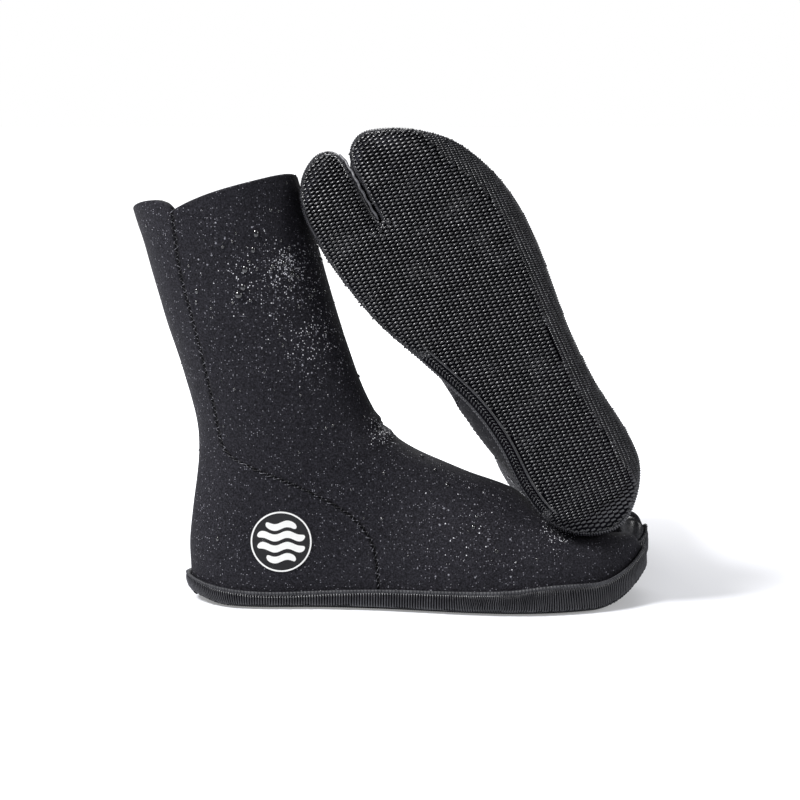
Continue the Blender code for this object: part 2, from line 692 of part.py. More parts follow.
def leaning_frame():
    """The leaning boot: its length up to the left, its sole to the front."""
    length = Vector((-math.sin(LEAN_ANGLE), 0.0, math.cos(LEAN_ANGLE)))
    across = Vector((math.cos(LEAN_ANGLE), 0.0, math.sin(LEAN_ANGLE)))
    up = Vector((0.0, math.cos(LEAN_TWIST), 0.0)) - across * math.sin(LEAN_TWIST)
    rotation = Matrix((length, up.cross(length), up)).transposed().to_4x4()
    return Matrix.Translation(Vector(LEAN_HEEL) * MM) @ rotation


def main():
    for thing in list(bpy.data.objects):
        bpy.data.objects.remove(thing)
    rubber = material("moulded_rubber", (0.028, 0.028, 0.032), 0.35)
    neoprene = material("neoprene", (0.020, 0.020, 0.026), 0.8)
    tape = material("seam_tape", (0.015, 0.015, 0.017), 0.6)
    print_ink = material("badge_print", (0.75, 0.75, 0.74), 0.5)
    standing = Matrix.Translation(Vector((-STANDING_ORIGIN_X * MM, 0.0, 0.0)))
    for side, matrix, mirror in (("right", standing, 1), ("left", leaning_frame(), -1)):
        frame = add_empty(side + "_frame", matrix)
        build_boot(side, frame, mirror, rubber, neoprene, tape, print_ink)


main()
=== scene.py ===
"""The looks of a pair of split-toe neoprene water boots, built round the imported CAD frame.

Every boot is described in its own frame, as the CAD is: x from the heel to the toes, y from the
outer side at minus y to the inner side, z up from the ground, all in millimetres. make_piece()
puts a mesh in its place in the row frame, in metres, and the left boot is the mirrored right one.
"""
import math
import random

import bmesh
import bpy
import numpy as np
from mathutils import Matrix, Vector, geometry, noise
from mathutils.bvhtree import BVHTree


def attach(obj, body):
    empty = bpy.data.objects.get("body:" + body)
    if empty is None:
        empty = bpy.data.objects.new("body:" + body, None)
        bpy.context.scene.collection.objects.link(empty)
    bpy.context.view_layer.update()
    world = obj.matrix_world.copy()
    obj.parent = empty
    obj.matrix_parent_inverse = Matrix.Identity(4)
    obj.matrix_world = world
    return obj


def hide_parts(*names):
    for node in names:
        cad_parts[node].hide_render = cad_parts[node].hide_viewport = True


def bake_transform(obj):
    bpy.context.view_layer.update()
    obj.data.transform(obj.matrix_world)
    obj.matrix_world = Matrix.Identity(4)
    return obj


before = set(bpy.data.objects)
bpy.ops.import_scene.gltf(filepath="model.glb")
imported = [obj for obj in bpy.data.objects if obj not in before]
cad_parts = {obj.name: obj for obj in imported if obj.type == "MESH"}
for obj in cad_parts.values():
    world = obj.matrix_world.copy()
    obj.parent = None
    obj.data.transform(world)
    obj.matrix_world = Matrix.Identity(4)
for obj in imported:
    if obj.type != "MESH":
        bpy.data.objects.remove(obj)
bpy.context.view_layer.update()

MM = 0.001

# ---------------------------------------------------------------- the boot's own dimensions
# They repeat the CAD's, so that each surface lies where its solid does.

SPLIT_ROOT = (230.5, -17.3)
MAIN_LOBE = [(234, -16.3), (250, -15.2), (266, -13.8), (275.5, -8.8), (279.5, 1), (276, 12),
             (264, 29.5), (246, 44.5)]
OUTER_SIDE = [(222, 53), (198, 55.5), (172, 53), (148, 47.8), (118, 41), (84, 36.8),
              (48, 36.4), (24, 31.6), (7, 17.5)]
INNER_SIDE = [(0, 0), (8, -20.5), (26, -32.6), (52, -35.4), (84, -32.2), (112, -33.8),
              (146, -42), (182, -51.6), (216, -55.4)]
BIG_TOE_LOBE = [(243, -55), (263, -51.4), (277, -41.5), (283, -27.5), (278.5, -17.2),
                (266, -15.9), (250, -17.3), (234, -18.3)]

COLLAR_BACK = (-28.5, 239.5)
COLLAR_FRONT = (69.5, 258.5)
BACK_LINE = [COLLAR_BACK, (-12.6, 180), (5.2, 121), (9.2, 90), (4.9, 54), (3.0, 34), (3.6, 16),
             (3.4, 4.8)]
FRONT_LINE = [COLLAR_FRONT, (82, 210), (100, 150), (112, 119), (124, 101.5), (142, 89),
              (170, 77), (199, 66.2), (225, 49.5), (240, 42.5)]
SEAM_LINE = [(-2, 241), (1, 204), (8, 174), (15, 144), (20, 120), (26, 94), (44, 83), (70, 72.5),
             (92, 61), (106, 50), (115, 34), (118, 4.8)]
MAIN_LOBE_TOP = [(196, 66), (212, 55.5), (225, 47), (240, 42), (255, 41), (266, 40), (272, 37),
                 (276, 31)]
BIG_TOE_TOP = [(196, 57), (212, 49), (225, 44.5), (240, 44.5), (255, 46), (268, 47.5),
               (276, 45), (280, 37)]
SHAFT_HALF_WIDTH = [(4.8, 34), (90, 34), (115, 35), (160, 38), (200, 40), (257, 41.5)]   # z, y

NOTCH_X, NOTCH_DEPTH = -1.5, 8.4
NOTCH_REACH_BACK, NOTCH_REACH_FRONT = 5.5, 19.0
COLLAR_SLANT, COLLAR_SLANT_REACH, COLLAR_DROP_REACH = 9.0, 30.0, 30.0
WAIST_PULL, WAIST_HEIGHT = 0.07, 90.0
INSTEP_BULGE, BULGE_X, BULGE_REACH = 16.0, 107.0, 56.0
BULGE_RISES, BULGE_FADES = (7.0, 52.0), (60.0, 112.0)
FOOT_UP_TO, SHAFT_FROM = 50.0, 115.0
NEOPRENE = 3.0
PLATE_TOP = 4.5
FOOT_BASE = 4.8
INSOLE = 3.0
SPRING_START, SPRING_RATE = 244.0, 0.0138
BAND_THICKNESS, UPPER_INSET = 2.8, 3.6
BAND_HEIGHT = [(0, 16), (20, 12), (56, 10), (118, 12.4), (187, 14), (226, 17.5), (282, 16.5)]
ANKLE = (62.0, 90.0)
FLEX_TOP = {"back": 101.0, "middle": 91.7, "front": 111.0}
FLEX_BASE = {"back": 78.5, "middle": 88.3, "front": 87.0}
FAN_END, SPLIT_START, FULL_FROM = 196.0, 199.0, 250.0
ROOT_FULLNESS, TIP_FULLNESS = 2.0, 2.5
HEEL_CORNER, HEEL_SPREAD = 5 / 16, 1.6         # share of the foot's rows that run down the heel
BENT_UP_TO = 0.35                              # share of the foot's rows that bend at the ankle
BADGE_CENTRE, BADGE_RADIUS = (59.6, 39.6), 18.5
GUARD_MARGIN = {"low": 1.0, "top": 7.0}

STANDING_ORIGIN_X = 130.0
LEAN_ANGLE, LEAN_TWIST = math.radians(33.3), math.radians(3.0)
LEAN_HEEL = (130.0, -36.0, 46.2)

# ---------------------------------------------------------------- fineness and surface detail

SPLINE_STEPS = 24
INSET_TRUST = 0.985                            # inset points nearer the outline than this go
SHAFT_ROWS, FLEX_ROWS, FOOT_ROWS, FOREFOOT_ROWS, LOBE_ROWS = 64, 12, 64, 16, 40
REAR_COLUMNS, FRONT_COLUMNS = 10, 30
PROFILE_POINTS = 241
COLLAR_STEPS = [0.0, 0.3, 0.7, 1.3, 2.2]       # mm below the collar's cut edge
SEAM_STEPS = [0.0, 0.3, 0.6, 0.95, 1.4, 2.0, 2.8, 4.0]           # mm from the seam
DITCH_DEPTH, DITCH_REACH = 0.8, 0.9
WELT_HEIGHT, WELT_AT, WELT_REACH = 0.18, 2.1, 0.9
COLLAR_ROUND, COLLAR_ROUND_REACH = 0.6, 0.9    # the cut edge is rounded off by this
UNDULATION, UNDULATION_SIZE = 0.45, 28.0
SWELL_FADE = (6.0, 24.0)                       # mm above the sole where the undulation sets in
FOLD_LINE = Vector((0.97, 0.26))               # from the ankle to the instep
FOLDS = [(1.0, -4.5, 2.0), (0.8, 5.0, 2.4), (-0.6, 0.5, 2.0)]    # height, place, width
FOLDS_RISE, FOLDS_FALL = (34.0, 62.0), (76.0, 92.0)              # mm from the ankle

BAND_STEP = 0.3                                # mm between the band's columns
RIB_PITCH, RIB_DEPTH = 1.6, 0.5
ARCH_PITCH, ARCH_DEPTH = 2.2, 0.5
BEAD_PITCH, BEAD_SWELL = 2.1, 0.34

TREAD_ACROSS, TREAD_ALONG = (3.33, -0.41), (0.36, 2.20)   # outward and toe-ward, mm
TREAD_HALF = (2.3, 0.86)
TREAD_HEIGHT = 1.45
SOLE_ROLL, SOLE_ROLL_RISE, SOLE_ROLL_POWER = 11.0, 2.6, 2.6      # the sole's edge rolls up
HEEL_FROM, HEEL_RATE = 20.0, 0.013             # the sole rises behind this x
HEEL_TUCK, HEEL_TUCK_UP_TO = 6.0, 15.0         # and is drawn in by this below the height
HEEL_TUCK_FADE = (5.0, 45.0)


# ---------------------------------------------------------------- curves

def spline(points, closed=False, steps=SPLINE_STEPS):
    """A Catmull-Rom curve through the points, as a dense array."""
    p = np.array(points, float)
    if closed:
        p = np.vstack([p[-1], p, p[0], p[1]])
    else:
        p = np.vstack([2 * p[0] - p[1], p, 2 * p[-1] - p[-2]])
    t = (np.arange(steps) / steps)[:, None]
    out = []
    for a, b, c, d in zip(p[:-3], p[1:-2], p[2:-1], p[3:]):
        out.append(0.5 * (2 * b + (c - a) * t + (2 * a - 5 * b + 4 * c - d) * t ** 2
                          + (3 * b - a - 3 * c + d) * t ** 3))
    curve = np.vstack(out)
    return curve if closed else np.vstack([curve, p[-2]])


def function_of(points, key=0):
    """The curve through the points, read as the other coordinate against coordinate key."""
    c = spline(points)
    order = np.argsort(c[:, key])
    return lambda value: np.interp(value, c[order, key], c[order, 1 - key])


def smooth(value, low, high):
    k = np.clip((value - low) / (high - low), 0.0, 1.0)
    return k * k * (3 - 2 * k)


def window(value, rise, fall):
    """Rises from 0 to 1 over one span of the value and falls back over another."""
    return smooth(value, *rise) * (1 - smooth(value, *fall))


def bell(value, centre, width):
    return np.exp(-((value - centre) / width) ** 2)


def unit(vectors):
    return vectors / np.maximum(np.linalg.norm(vectors, axis=-1, keepdims=True), 1e-9)


def lengths_along(points):
    """How far along the line each of its points is."""
    return np.concatenate([[0], np.cumsum(np.linalg.norm(np.diff(points, axis=0), axis=1))])


def read_at(at, along, points):
    """The line's point, or points, at the given lengths."""
    return np.stack([np.interp(at, along, values) for values in points.T], axis=-1)


def outward_normals(loop):
    d = np.roll(loop, -1, axis=0) - np.roll(loop, 1, axis=0)
    return unit(np.column_stack([d[:, 1], -d[:, 0]]))


def evenly(loop, step):
    """A closed loop with its points moved to even steps of about the given length."""
    closed = np.vstack([loop, loop[:1]])
    along = lengths_along(closed)
    count = int(round(along[-1] / step))
    return read_at(np.arange(count) * along[-1] / count, along, closed)


def sole_outline(steps=SPLINE_STEPS):
    """The sole's outline in (x, y), anticlockwise."""
    points = [SPLIT_ROOT] + MAIN_LOBE + OUTER_SIDE + INNER_SIDE + BIG_TOE_LOBE
    loop = spline(points, closed=True, steps=steps)
    loop = np.column_stack([loop[:, 0], -loop[:, 1]])
    ahead = np.roll(loop, -1, axis=0)
    turn = np.sum(loop[:, 0] * ahead[:, 1] - loop[:, 1] * ahead[:, 0])
    return loop if turn > 0 else loop[::-1]


def inset(loop, distance):
    """The loop moved inwards, without the stretches that would cross themselves."""
    moved = loop - outward_normals(loop) * distance
    nearest = np.array([np.linalg.norm(loop - p, axis=1).min() for p in moved])
    return moved[nearest > distance * INSET_TRUST]


OUTLINE = sole_outline()
TOE_X, LOBE_LINE_Y = 215.0, 17.0               # the lobes lie ahead of x and on either side of y


class Plan:
    """The plan of one inset of the sole, as four edges that are functions of x."""

    def __init__(self, distance):
        loop = inset(OUTLINE, distance)
        split = (loop[:, 0] > TOE_X) & (loop[:, 1] > 0) & (loop[:, 1] < 30)
        root = np.where(split)[0][np.argmin(loop[split, 0])]
        loop = np.roll(loop, -root, axis=0)
        big = np.where(loop[:, 1] > LOBE_LINE_Y, loop[:, 0], 0).argmax()
        main = np.where(loop[:, 1] < LOBE_LINE_Y, loop[:, 0], 0).argmax()
        heel = loop[:, 0].argmin()
        first, last = min(big, main), max(big, main)
        runs = [loop[:first + 1], loop[first:heel + 1], loop[heel:last + 1],
                np.vstack([loop[last:], loop[:1]])]
        if big < main:
            runs = runs[::-1]
        names = ("main_inner", "outer", "inner", "big_inner")
        self.edges = {n: r[np.argsort(r[:, 0])] for n, r in zip(names, runs)}
        self.root_x, self.heel_x = loop[0, 0], loop[heel, 0]
        self.tip = {"main": loop[main], "big": loop[big]}

    def y(self, edge, x):
        run = self.edges[edge]
        return float(np.interp(x, run[:, 0], run[:, 1]))


UPPER_PLAN = Plan(UPPER_INSET)
back_x = function_of(BACK_LINE, key=1)
front_x = function_of(FRONT_LINE, key=1)
ridge_z = function_of(FRONT_LINE)
seam_x = function_of(SEAM_LINE, key=1)
main_top = function_of(MAIN_LOBE_TOP)
big_top = function_of(BIG_TOE_TOP)
shaft_half = function_of(SHAFT_HALF_WIDTH)
band_height = function_of(BAND_HEIGHT)


def spring(x):
    return SPRING_RATE * np.maximum(x - SPRING_START, 0.0) ** 2


def heel_rise(x):
    """How far the sole's under face rises towards the back of the heel."""
    return HEEL_RATE * np.maximum(HEEL_FROM - x, 0.0) ** 2


def tucked(verts):
    """The rubber's points, drawn in under the back of the heel."""
    verts = np.array(verts, float)
    x, z = verts[:, 0], verts[:, 2]
    round_heel = 1 - smooth(x, *HEEL_TUCK_FADE)
    verts[:, 0] += HEEL_TUCK * round_heel * np.clip(1 - z / HEEL_TUCK_UP_TO, 0, 1) ** 2
    return verts


# ---------------------------------------------------------------- surface of the upper

def half_width(x, z, side):
    """Half width of the upper at a point of its side view; side -1 is outer, 1 is inner."""
    x_back, x_front = back_x(z), front_x(z)
    ahead = x - x_back
    if ahead < 1e-6:
        return 0.0
    across = (2 * x - x_back - x_front) / (x_front - x_back)
    shaft = shaft_half(z) * math.sqrt(max(0.0, 1 - across ** 2))
    edge = UPPER_PLAN.y("outer" if side < 0 else "inner", UPPER_PLAN.heel_x + ahead)
    up = (z - FOOT_BASE) / (ridge_z(x) - FOOT_BASE)
    roundness = max(0.0, 1 - up ** 2)
    waist = 1 - WAIST_PULL * math.sin(math.pi * min(z / WAIST_HEIGHT, 1.0))
    foot = abs(edge) * waist * math.sqrt(roundness)
    blend = smooth(z, FOOT_UP_TO, SHAFT_FROM)
    bulge = 0.0
    if side > 0:
        bulge = INSTEP_BULGE * roundness * math.exp(-((x - BULGE_X) / BULGE_REACH) ** 2)
        bulge *= window(z, BULGE_RISES, BULGE_FADES)
    return (1 - blend) * foot + blend * shaft + bulge


class Section:
    """A line across the side view, from the back or the sole, over a middle, to the front."""

    def __init__(self, back, middle, front):
        self.points = [np.array(p, float) for p in (back, middle, front)]
        self.seam = self.seam_t()

    def at(self, t):
        back, middle, front = self.points
        if t < 0.5:
            return back + (middle - back) * 2 * t
        return middle + (front - middle) * (2 * t - 1)

    def per_mm(self, t):
        """How far t goes for one millimetre along the line."""
        back, middle, front = self.points
        half = middle - back if t < 0.5 else front - middle
        return 0.5 / np.linalg.norm(half)

    def surface(self, t, side):
        x, z = self.at(t)
        width = 0.0 if t >= 1 else half_width(x, z, side)
        return (x, side * width, z)

    def seam_t(self):
        """Where the seam crosses the line: 0 if the whole line lies in front of it."""
        low, high = 0.0, 1.0
        if self.at(0.0)[0] >= seam_x(self.at(0.0)[1]):
            return 0.0
        for _ in range(30):
            t = (low + high) / 2
            x, z = self.at(t)
            low, high = (t, high) if x < seam_x(z) else (low, t)
        return low


def shaft_section(r):
    z_back = COLLAR_BACK[1] + (FLEX_TOP["back"] - COLLAR_BACK[1]) * r
    z_front = COLLAR_FRONT[1] + (FLEX_TOP["front"] - COLLAR_FRONT[1]) * r
    back, front = (back_x(z_back), z_back), (front_x(z_front), z_front)
    straight = (np.array(back) + np.array(front)) / 2
    edge = np.array([ANKLE[0], FLEX_TOP["middle"]])
    return Section(back, straight + (edge - straight) * r ** 2, front)


def flex_section(r):
    z = {k: FLEX_TOP[k] + (FLEX_BASE[k] - FLEX_TOP[k]) * r for k in FLEX_TOP}
    return Section((back_x(z["back"]), z["back"]), (ANKLE[0], z["middle"]),
                   (front_x(z["front"]), z["front"]))


def foot_section(r):
    """r = 0 at the foot's upper edge, 1 upright at FAN_END."""
    if r <= HEEL_CORNER:
        z_back = FLEX_BASE["back"] + (FOOT_BASE - FLEX_BASE["back"]) * r / HEEL_CORNER
        back = (back_x(z_back), z_back)
    else:
        heel, share = back_x(FOOT_BASE), (r - HEEL_CORNER) / (1 - HEEL_CORNER)
        back = (heel + (FAN_END - heel) * share ** HEEL_SPREAD, FOOT_BASE)
    start = front_x(FLEX_BASE["front"])
    x_front = start + (FAN_END - start) * r
    front = (x_front, ridge_z(x_front))
    straight = (np.array(back) + np.array(front)) / 2
    edge = np.array([ANKLE[0], FLEX_BASE["middle"]])
    return Section(back, straight + (edge - straight) * (1 - smooth(r, 0.0, BENT_UP_TO)), front)


def foot_r(x):
    """The section of the foot whose lower end is at x on the sole."""
    heel = back_x(FOOT_BASE)
    return HEEL_CORNER + (1 - HEEL_CORNER) * ((x - heel) / (FAN_END - heel)) ** (1 / HEEL_SPREAD)


def skin_sections():
    """The sections from the collar to where they stand upright, the collar's own ones closer."""
    drop = COLLAR_FRONT[1] - FLEX_TOP["front"]
    near = [shaft_section(d / drop) for d in COLLAR_STEPS[:-1]]
    shaft = [shaft_section(r) for r in np.linspace(COLLAR_STEPS[-1] / drop, 1, SHAFT_ROWS)]
    flex = [flex_section(k / FLEX_ROWS) for k in range(1, FLEX_ROWS)]
    end = foot_r(SEAM_LINE[-1][0])
    rows = [r for r in np.linspace(0, 1, FOOT_ROWS) if abs(r - end) > 0.5 / FOOT_ROWS]
    rows += [foot_r(SEAM_LINE[-1][0] - 0.4), foot_r(SEAM_LINE[-1][0] + 0.4)]
    return near + shaft + flex + [foot_section(r) for r in sorted(rows)]


def spread(low, high, count):
    """Values of t from low to high, close together where the surface turns over."""
    angles = np.linspace(math.acos(1 - 2 * low), math.acos(1 - 2 * high), count + 1)
    return (1 - np.cos(angles)) / 2


def rear_places(s):
    """Columns of the rear panel: (t, distance from the seam), from the back line to the seam."""
    room = min(1.0, s.seam / s.per_mm(s.seam) / (2 * SEAM_STEPS[-1]))
    near = [(s.seam - d * room * s.per_mm(s.seam), d) for d in SEAM_STEPS]
    far = [(t, SEAM_STEPS[-1] * 3) for t in spread(0.0, near[-1][0], REAR_COLUMNS)[:-1]]
    return far + near[::-1]


def front_places(s):
    """Columns of the front panel, from the seam, or from the sole, to the front line."""
    near = [(s.seam + d * s.per_mm(s.seam), d if s.seam > 0 else SEAM_STEPS[-1] * 3)
            for d in SEAM_STEPS]
    far = [(t, SEAM_STEPS[-1] * 3) for t in spread(near[-1][0], 1.0, FRONT_COLUMNS)[1:]]
    return near + far


def notch(x):
    """How far the collar dips near the seam."""
    reach = np.where(x < NOTCH_X, NOTCH_REACH_BACK, NOTCH_REACH_FRONT)
    return NOTCH_DEPTH * np.exp(-np.abs(x - NOTCH_X) / reach)


def collar_drop(points):
    """How far points move down at the collar's dip and on its inner side, fading out below."""
    slope = (COLLAR_FRONT[1] - COLLAR_BACK[1]) / (COLLAR_FRONT[0] - COLLAR_BACK[0])
    x, y, z = points[..., 0], points[..., 1], points[..., 2]
    below = COLLAR_BACK[1] + (x - COLLAR_BACK[0]) * slope - z
    slant = COLLAR_SLANT * smooth(y, -COLLAR_SLANT_REACH, COLLAR_SLANT_REACH)
    return (notch(x) + slant) * (1 - smooth(below, 0.0, COLLAR_DROP_REACH))


def dense_dome(x):
    """An upright section of the foot, from its outer edge over the ridge to its inner edge."""
    s = Section((x, FOOT_BASE), (x, (FOOT_BASE + ridge_z(x)) / 2), (x, ridge_z(x)))
    ts = spread(0.0, 1.0, PROFILE_POINTS // 2)
    return np.array([s.surface(t, -1) for t in ts] + [s.surface(t, 1) for t in ts[-2::-1]])


def lobe_profile(x, y_from, y_to, top):
    """A dense section of a toe lobe, which fades into the foot's dome behind the split."""
    base = FOOT_BASE + spring(x)
    power = 2 / (ROOT_FULLNESS + (TIP_FULLNESS - ROOT_FULLNESS)
                 * smooth(x, UPPER_PLAN.root_x, FULL_FROM))
    angle = np.linspace(0, math.pi, PROFILE_POINTS)
    across = np.copysign(np.abs(np.cos(angle)) ** power, np.cos(angle))
    y = (y_from + y_to) / 2 - across * (y_to - y_from) / 2
    z = base + (top - base) * np.abs(np.sin(angle)) ** power
    split = smooth(x, SPLIT_START, UPPER_PLAN.root_x)
    if split < 1:
        dome = dense_dome(x)
        z = z * split + np.interp(y, dome[:, 1], dome[:, 2]) * (1 - split)
    return np.column_stack([np.full_like(y, x), y, z])


def arc_fractions(row):
    length = lengths_along(row)
    return length / max(length[-1], 1e-9)


def forefoot_grids():
    """The grids of the toe box: the main lobe with the ridge, then the big toe's lobe.

    Behind the split they share the points of a groove, which deepens down to the sole.
    """
    s = foot_section(1.0)
    ts = [t for t, _ in front_places(s)]
    first = np.array([s.surface(t, -1) for t in ts] + [s.surface(t, 1) for t in ts[-2::-1]])
    inner = np.arange(len(ts), len(first))
    cut = inner[np.abs(first[inner, 1] + SPLIT_ROOT[1]).argmin()]
    rows = {"main": [first[:cut + 1]], "big": [first[cut:]]}
    root = UPPER_PLAN.root_x
    for k in range(1, FOREFOOT_ROWS + LOBE_ROWS + 1):
        for name, top in (("main", main_top), ("big", big_top)):
            if k <= FOREFOOT_ROWS:
                x = FAN_END + (root - FAN_END) * k / FOREFOOT_ROWS
            else:
                reach = (1 - math.cos((k - FOREFOOT_ROWS) / LOBE_ROWS * math.pi)) / 2
                x = root + (UPPER_PLAN.tip[name][0] - root) * reach
            groove = UPPER_PLAN.y(name + "_inner", x) if x > root else -SPLIT_ROOT[1]
            ends = (UPPER_PLAN.y("outer", x), groove)
            if name == "big":
                ends = (groove, UPPER_PLAN.y("inner", x))
            even = np.linspace(0, 1, len(rows[name][0]))
            part = smooth(x, FAN_END, root)
            fractions = arc_fractions(rows[name][0]) * (1 - part) + even * part
            profile = lobe_profile(x, *ends, top(x))
            rows[name].append(read_at(fractions, arc_fractions(profile), profile))
    return rows["main"], rows["big"]


def undulation(p):
    """Slow swells of the neoprene and the fold where the instep bends."""
    x, _, z = p
    swell = UNDULATION * noise.noise(Vector(p) / UNDULATION_SIZE)
    from_ankle = Vector((x - ANKLE[0], z - ANKLE[1]))
    along = from_ankle.dot(FOLD_LINE)
    aside = from_ankle.x * FOLD_LINE.y - from_ankle.y * FOLD_LINE.x
    folds = sum(height * bell(aside, at, width) for height, at, width in FOLDS)
    return swell + folds * window(along, FOLDS_RISE, FOLDS_FALL)


class Skin:
    """The upper's outer surface, with the faces of each panel and each vertex's own depth."""

    def __init__(self):
        self.verts, self.push, self.seam, self.index = [], [], [], {}
        self.faces = {"rear": [], "front": []}
        self.main_rows, self.big_rows = forefoot_grids()
        sections = skin_sections()
        for side in (-1, 1):
            for panel, places in (("rear", rear_places), ("front", front_places)):
                rows = []
                for k, s in enumerate(sections):
                    if panel == "rear" and s.seam <= 0:
                        break
                    edge = COLLAR_STEPS[k] if k < len(COLLAR_STEPS) else math.inf
                    rows.append([(*s.surface(t, side), self.depth(d, edge), float(bell(d, 0, 1.1)))
                                 for t, d in places(s)])
                self.add(panel, rows if side < 0 else [row[::-1] for row in rows])
        for rows in (self.main_rows, self.big_rows):
            self.add("front", [[(*p, 0.0, 0.0) for p in row] for row in rows])
        self.verts = np.array(self.verts)
        self.normals = self.vertex_normals()
        swell = np.array([undulation(p) for p in self.verts]) * self.clear_of_sole()
        self.push = np.array(self.push) + swell
        self.verts[:, 2] -= collar_drop(self.verts)

    @staticmethod
    def depth(from_seam, from_collar):
        """How far a point lies off the smooth surface, for the seam and the rolled cut edge."""
        ditch = -DITCH_DEPTH * bell(from_seam, 0, DITCH_REACH)
        welt = WELT_HEIGHT * bell(from_seam, WELT_AT, WELT_REACH)
        return ditch + welt - COLLAR_ROUND * max(0.0, 1 - from_collar / COLLAR_ROUND_REACH) ** 2

    def add(self, panel, rows):
        ids = []
        for row in rows:
            line = []
            for x, y, z, push, seam in row:
                key = (round(x, 3), round(y, 3) + 0.0, round(z, 3))
                if key not in self.index:
                    self.index[key] = len(self.verts)
                    self.verts.append((x, y, z))
                    self.push.append(push)
                    self.seam.append(seam)
                line.append(self.index[key])
            ids.append(line)
        for upper, lower in zip(ids, ids[1:]):
            for a, b, c, d in zip(upper, lower, lower[1:], upper[1:]):
                face = list(dict.fromkeys((a, b, c, d)))
                if len(face) > 2:
                    self.faces[panel].append(face)

    def clear_of_sole(self):
        x, z = self.verts[:, 0], self.verts[:, 2]
        return smooth(z - FOOT_BASE - spring(x), *SWELL_FADE)

    def vertex_normals(self):
        v = self.verts
        n = np.zeros_like(v)
        for f in self.faces["rear"] + self.faces["front"]:
            n[f] += np.cross(v[f[2]] - v[f[0]], v[f[-1]] - v[f[1]])
        on_sole = np.abs(v[:, 2] - FOOT_BASE - spring(v[:, 0])) < 1.0
        n[on_sole, 2] = 0.0
        return unit(n)

    def all_faces(self):
        return self.faces["front"] + self.faces["rear"]

    def outer(self):
        return self.verts + self.normals * self.push[:, None]

    def solid(self, panel):
        """The panel as a closed solid, and which of its faces are the lining's."""
        count = len(self.verts)
        verts = np.vstack([self.outer(), self.verts - self.normals * NEOPRENE])
        faces = list(self.faces[panel])
        lining = [[i + count for i in reversed(f)] for f in faces]
        rim = sorted([b, a, a + count, b + count] for a, b in open_edges(faces))
        every = faces + rim + lining
        used = sorted({i for f in every for i in f})
        place = {old: new for new, old in enumerate(used)}
        marks = [0] * len(faces) + [2] * len(rim) + [1] * len(lining)
        seam = np.tile(self.seam, 2)[used]
        return verts[used], [[place[i] for i in f] for f in every], marks, seam


# ---------------------------------------------------------------- meshes and placing

def leaning_matrix():
    """The leaning boot: its length up to the left, its sole to the front."""
    length = Vector((-math.sin(LEAN_ANGLE), 0.0, math.cos(LEAN_ANGLE)))
    across = Vector((math.cos(LEAN_ANGLE), 0.0, math.sin(LEAN_ANGLE)))
    up = Vector((0.0, math.cos(LEAN_TWIST), 0.0)) - across * math.sin(LEAN_TWIST)
    rotation = Matrix((length, up.cross(length), up)).transposed().to_4x4()
    return Matrix.Translation(Vector(LEAN_HEEL) * MM) @ rotation


BOOTS = {"right": (Matrix.Translation(Vector((-STANDING_ORIGIN_X * MM, 0.0, 0.0))), 1),
         "left": (leaning_matrix(), -1)}


def in_scene(name, data):
    thing = bpy.data.objects.new(name, data)
    bpy.context.scene.collection.objects.link(thing)
    return thing


def make_piece(side, name, verts, faces, materials, marks=None, facts=None, sharp=None):
    """A mesh object of one boot, in its place, with its place in the boot as an attribute.

    marks give each face its material, facts name further values of each point, and edges that
    turn by more than sharp degrees aren't smoothed.
    """
    matrix, mirror = BOOTS[side]
    verts = np.array(verts, float)
    own = verts * (1, mirror, 1) * MM
    rotation, shift = np.array(matrix.to_3x3()), np.array(matrix.translation)
    world = own @ rotation.T + shift
    mesh = bpy.data.meshes.new(f"{side}_{name}")
    mesh.from_pydata(world.tolist(), [], [f if mirror > 0 else f[::-1] for f in faces])
    for m in materials:
        mesh.materials.append(m)
    if marks is not None:
        mesh.polygons.foreach_set("material_index", marks)
    place = mesh.attributes.new("place", "FLOAT_VECTOR", "POINT")
    place.data.foreach_set("vector", verts.astype(np.float32).ravel())
    for key, values in (facts or {}).items():
        layer = mesh.attributes.new(key, "FLOAT", "POINT")
        layer.data.foreach_set("value", np.array(values, np.float32))
    mesh.shade_smooth()
    if sharp is not None:
        mesh.set_sharp_from_angle(angle=math.radians(sharp))
    return in_scene(f"{side}_{name}", mesh)


def fit(piece, side, slot, *nodes):
    """The piece rides the foot of its boot and takes the place of CAD nodes."""
    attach(piece, f"{side}_boot")
    if nodes:
        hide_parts(*[f"{side}_{n}" for n in nodes])


def joined(parts):
    """Several (verts, faces) as one."""
    verts, faces, start = [], [], 0
    for v, f in parts:
        verts.append(np.array(v, float).reshape(-1, 3))
        faces += [[i + start for i in face] for face in f]
        start += len(verts[-1])
    return np.vstack(verts), faces


def ring_faces(count, size, closed=True):
    """The quads of count profiles of size points, side by side; an open run gets two caps."""
    faces = []
    for i in range(count if closed else count - 1):
        for j in range(size):
            a, b = i * size + j, i * size + (j + 1) % size
            c, d = (i + 1) % count * size + (j + 1) % size, (i + 1) % count * size + j
            faces.append([a, d, c, b])
    if not closed:
        faces += [list(range(size)), list(range((count - 1) * size, count * size))[::-1]]
    return faces


def turns(count):
    """Angles once round, without the last."""
    return np.arange(count) * 2 * math.pi / count


def grid_faces(count, size):
    """The quads of a sheet of count rows of size points."""
    return [[i * size + j, (i + 1) * size + j, (i + 1) * size + j + 1, i * size + j + 1]
            for i in range(count - 1) for j in range(size - 1)]


def open_edges(faces):
    """The edges that only one face has, in that face's direction."""
    edges = {(a, b) for f in faces for a, b in zip(f, f[1:] + f[:1])}
    return sorted((a, b) for a, b in edges if (b, a) not in edges)


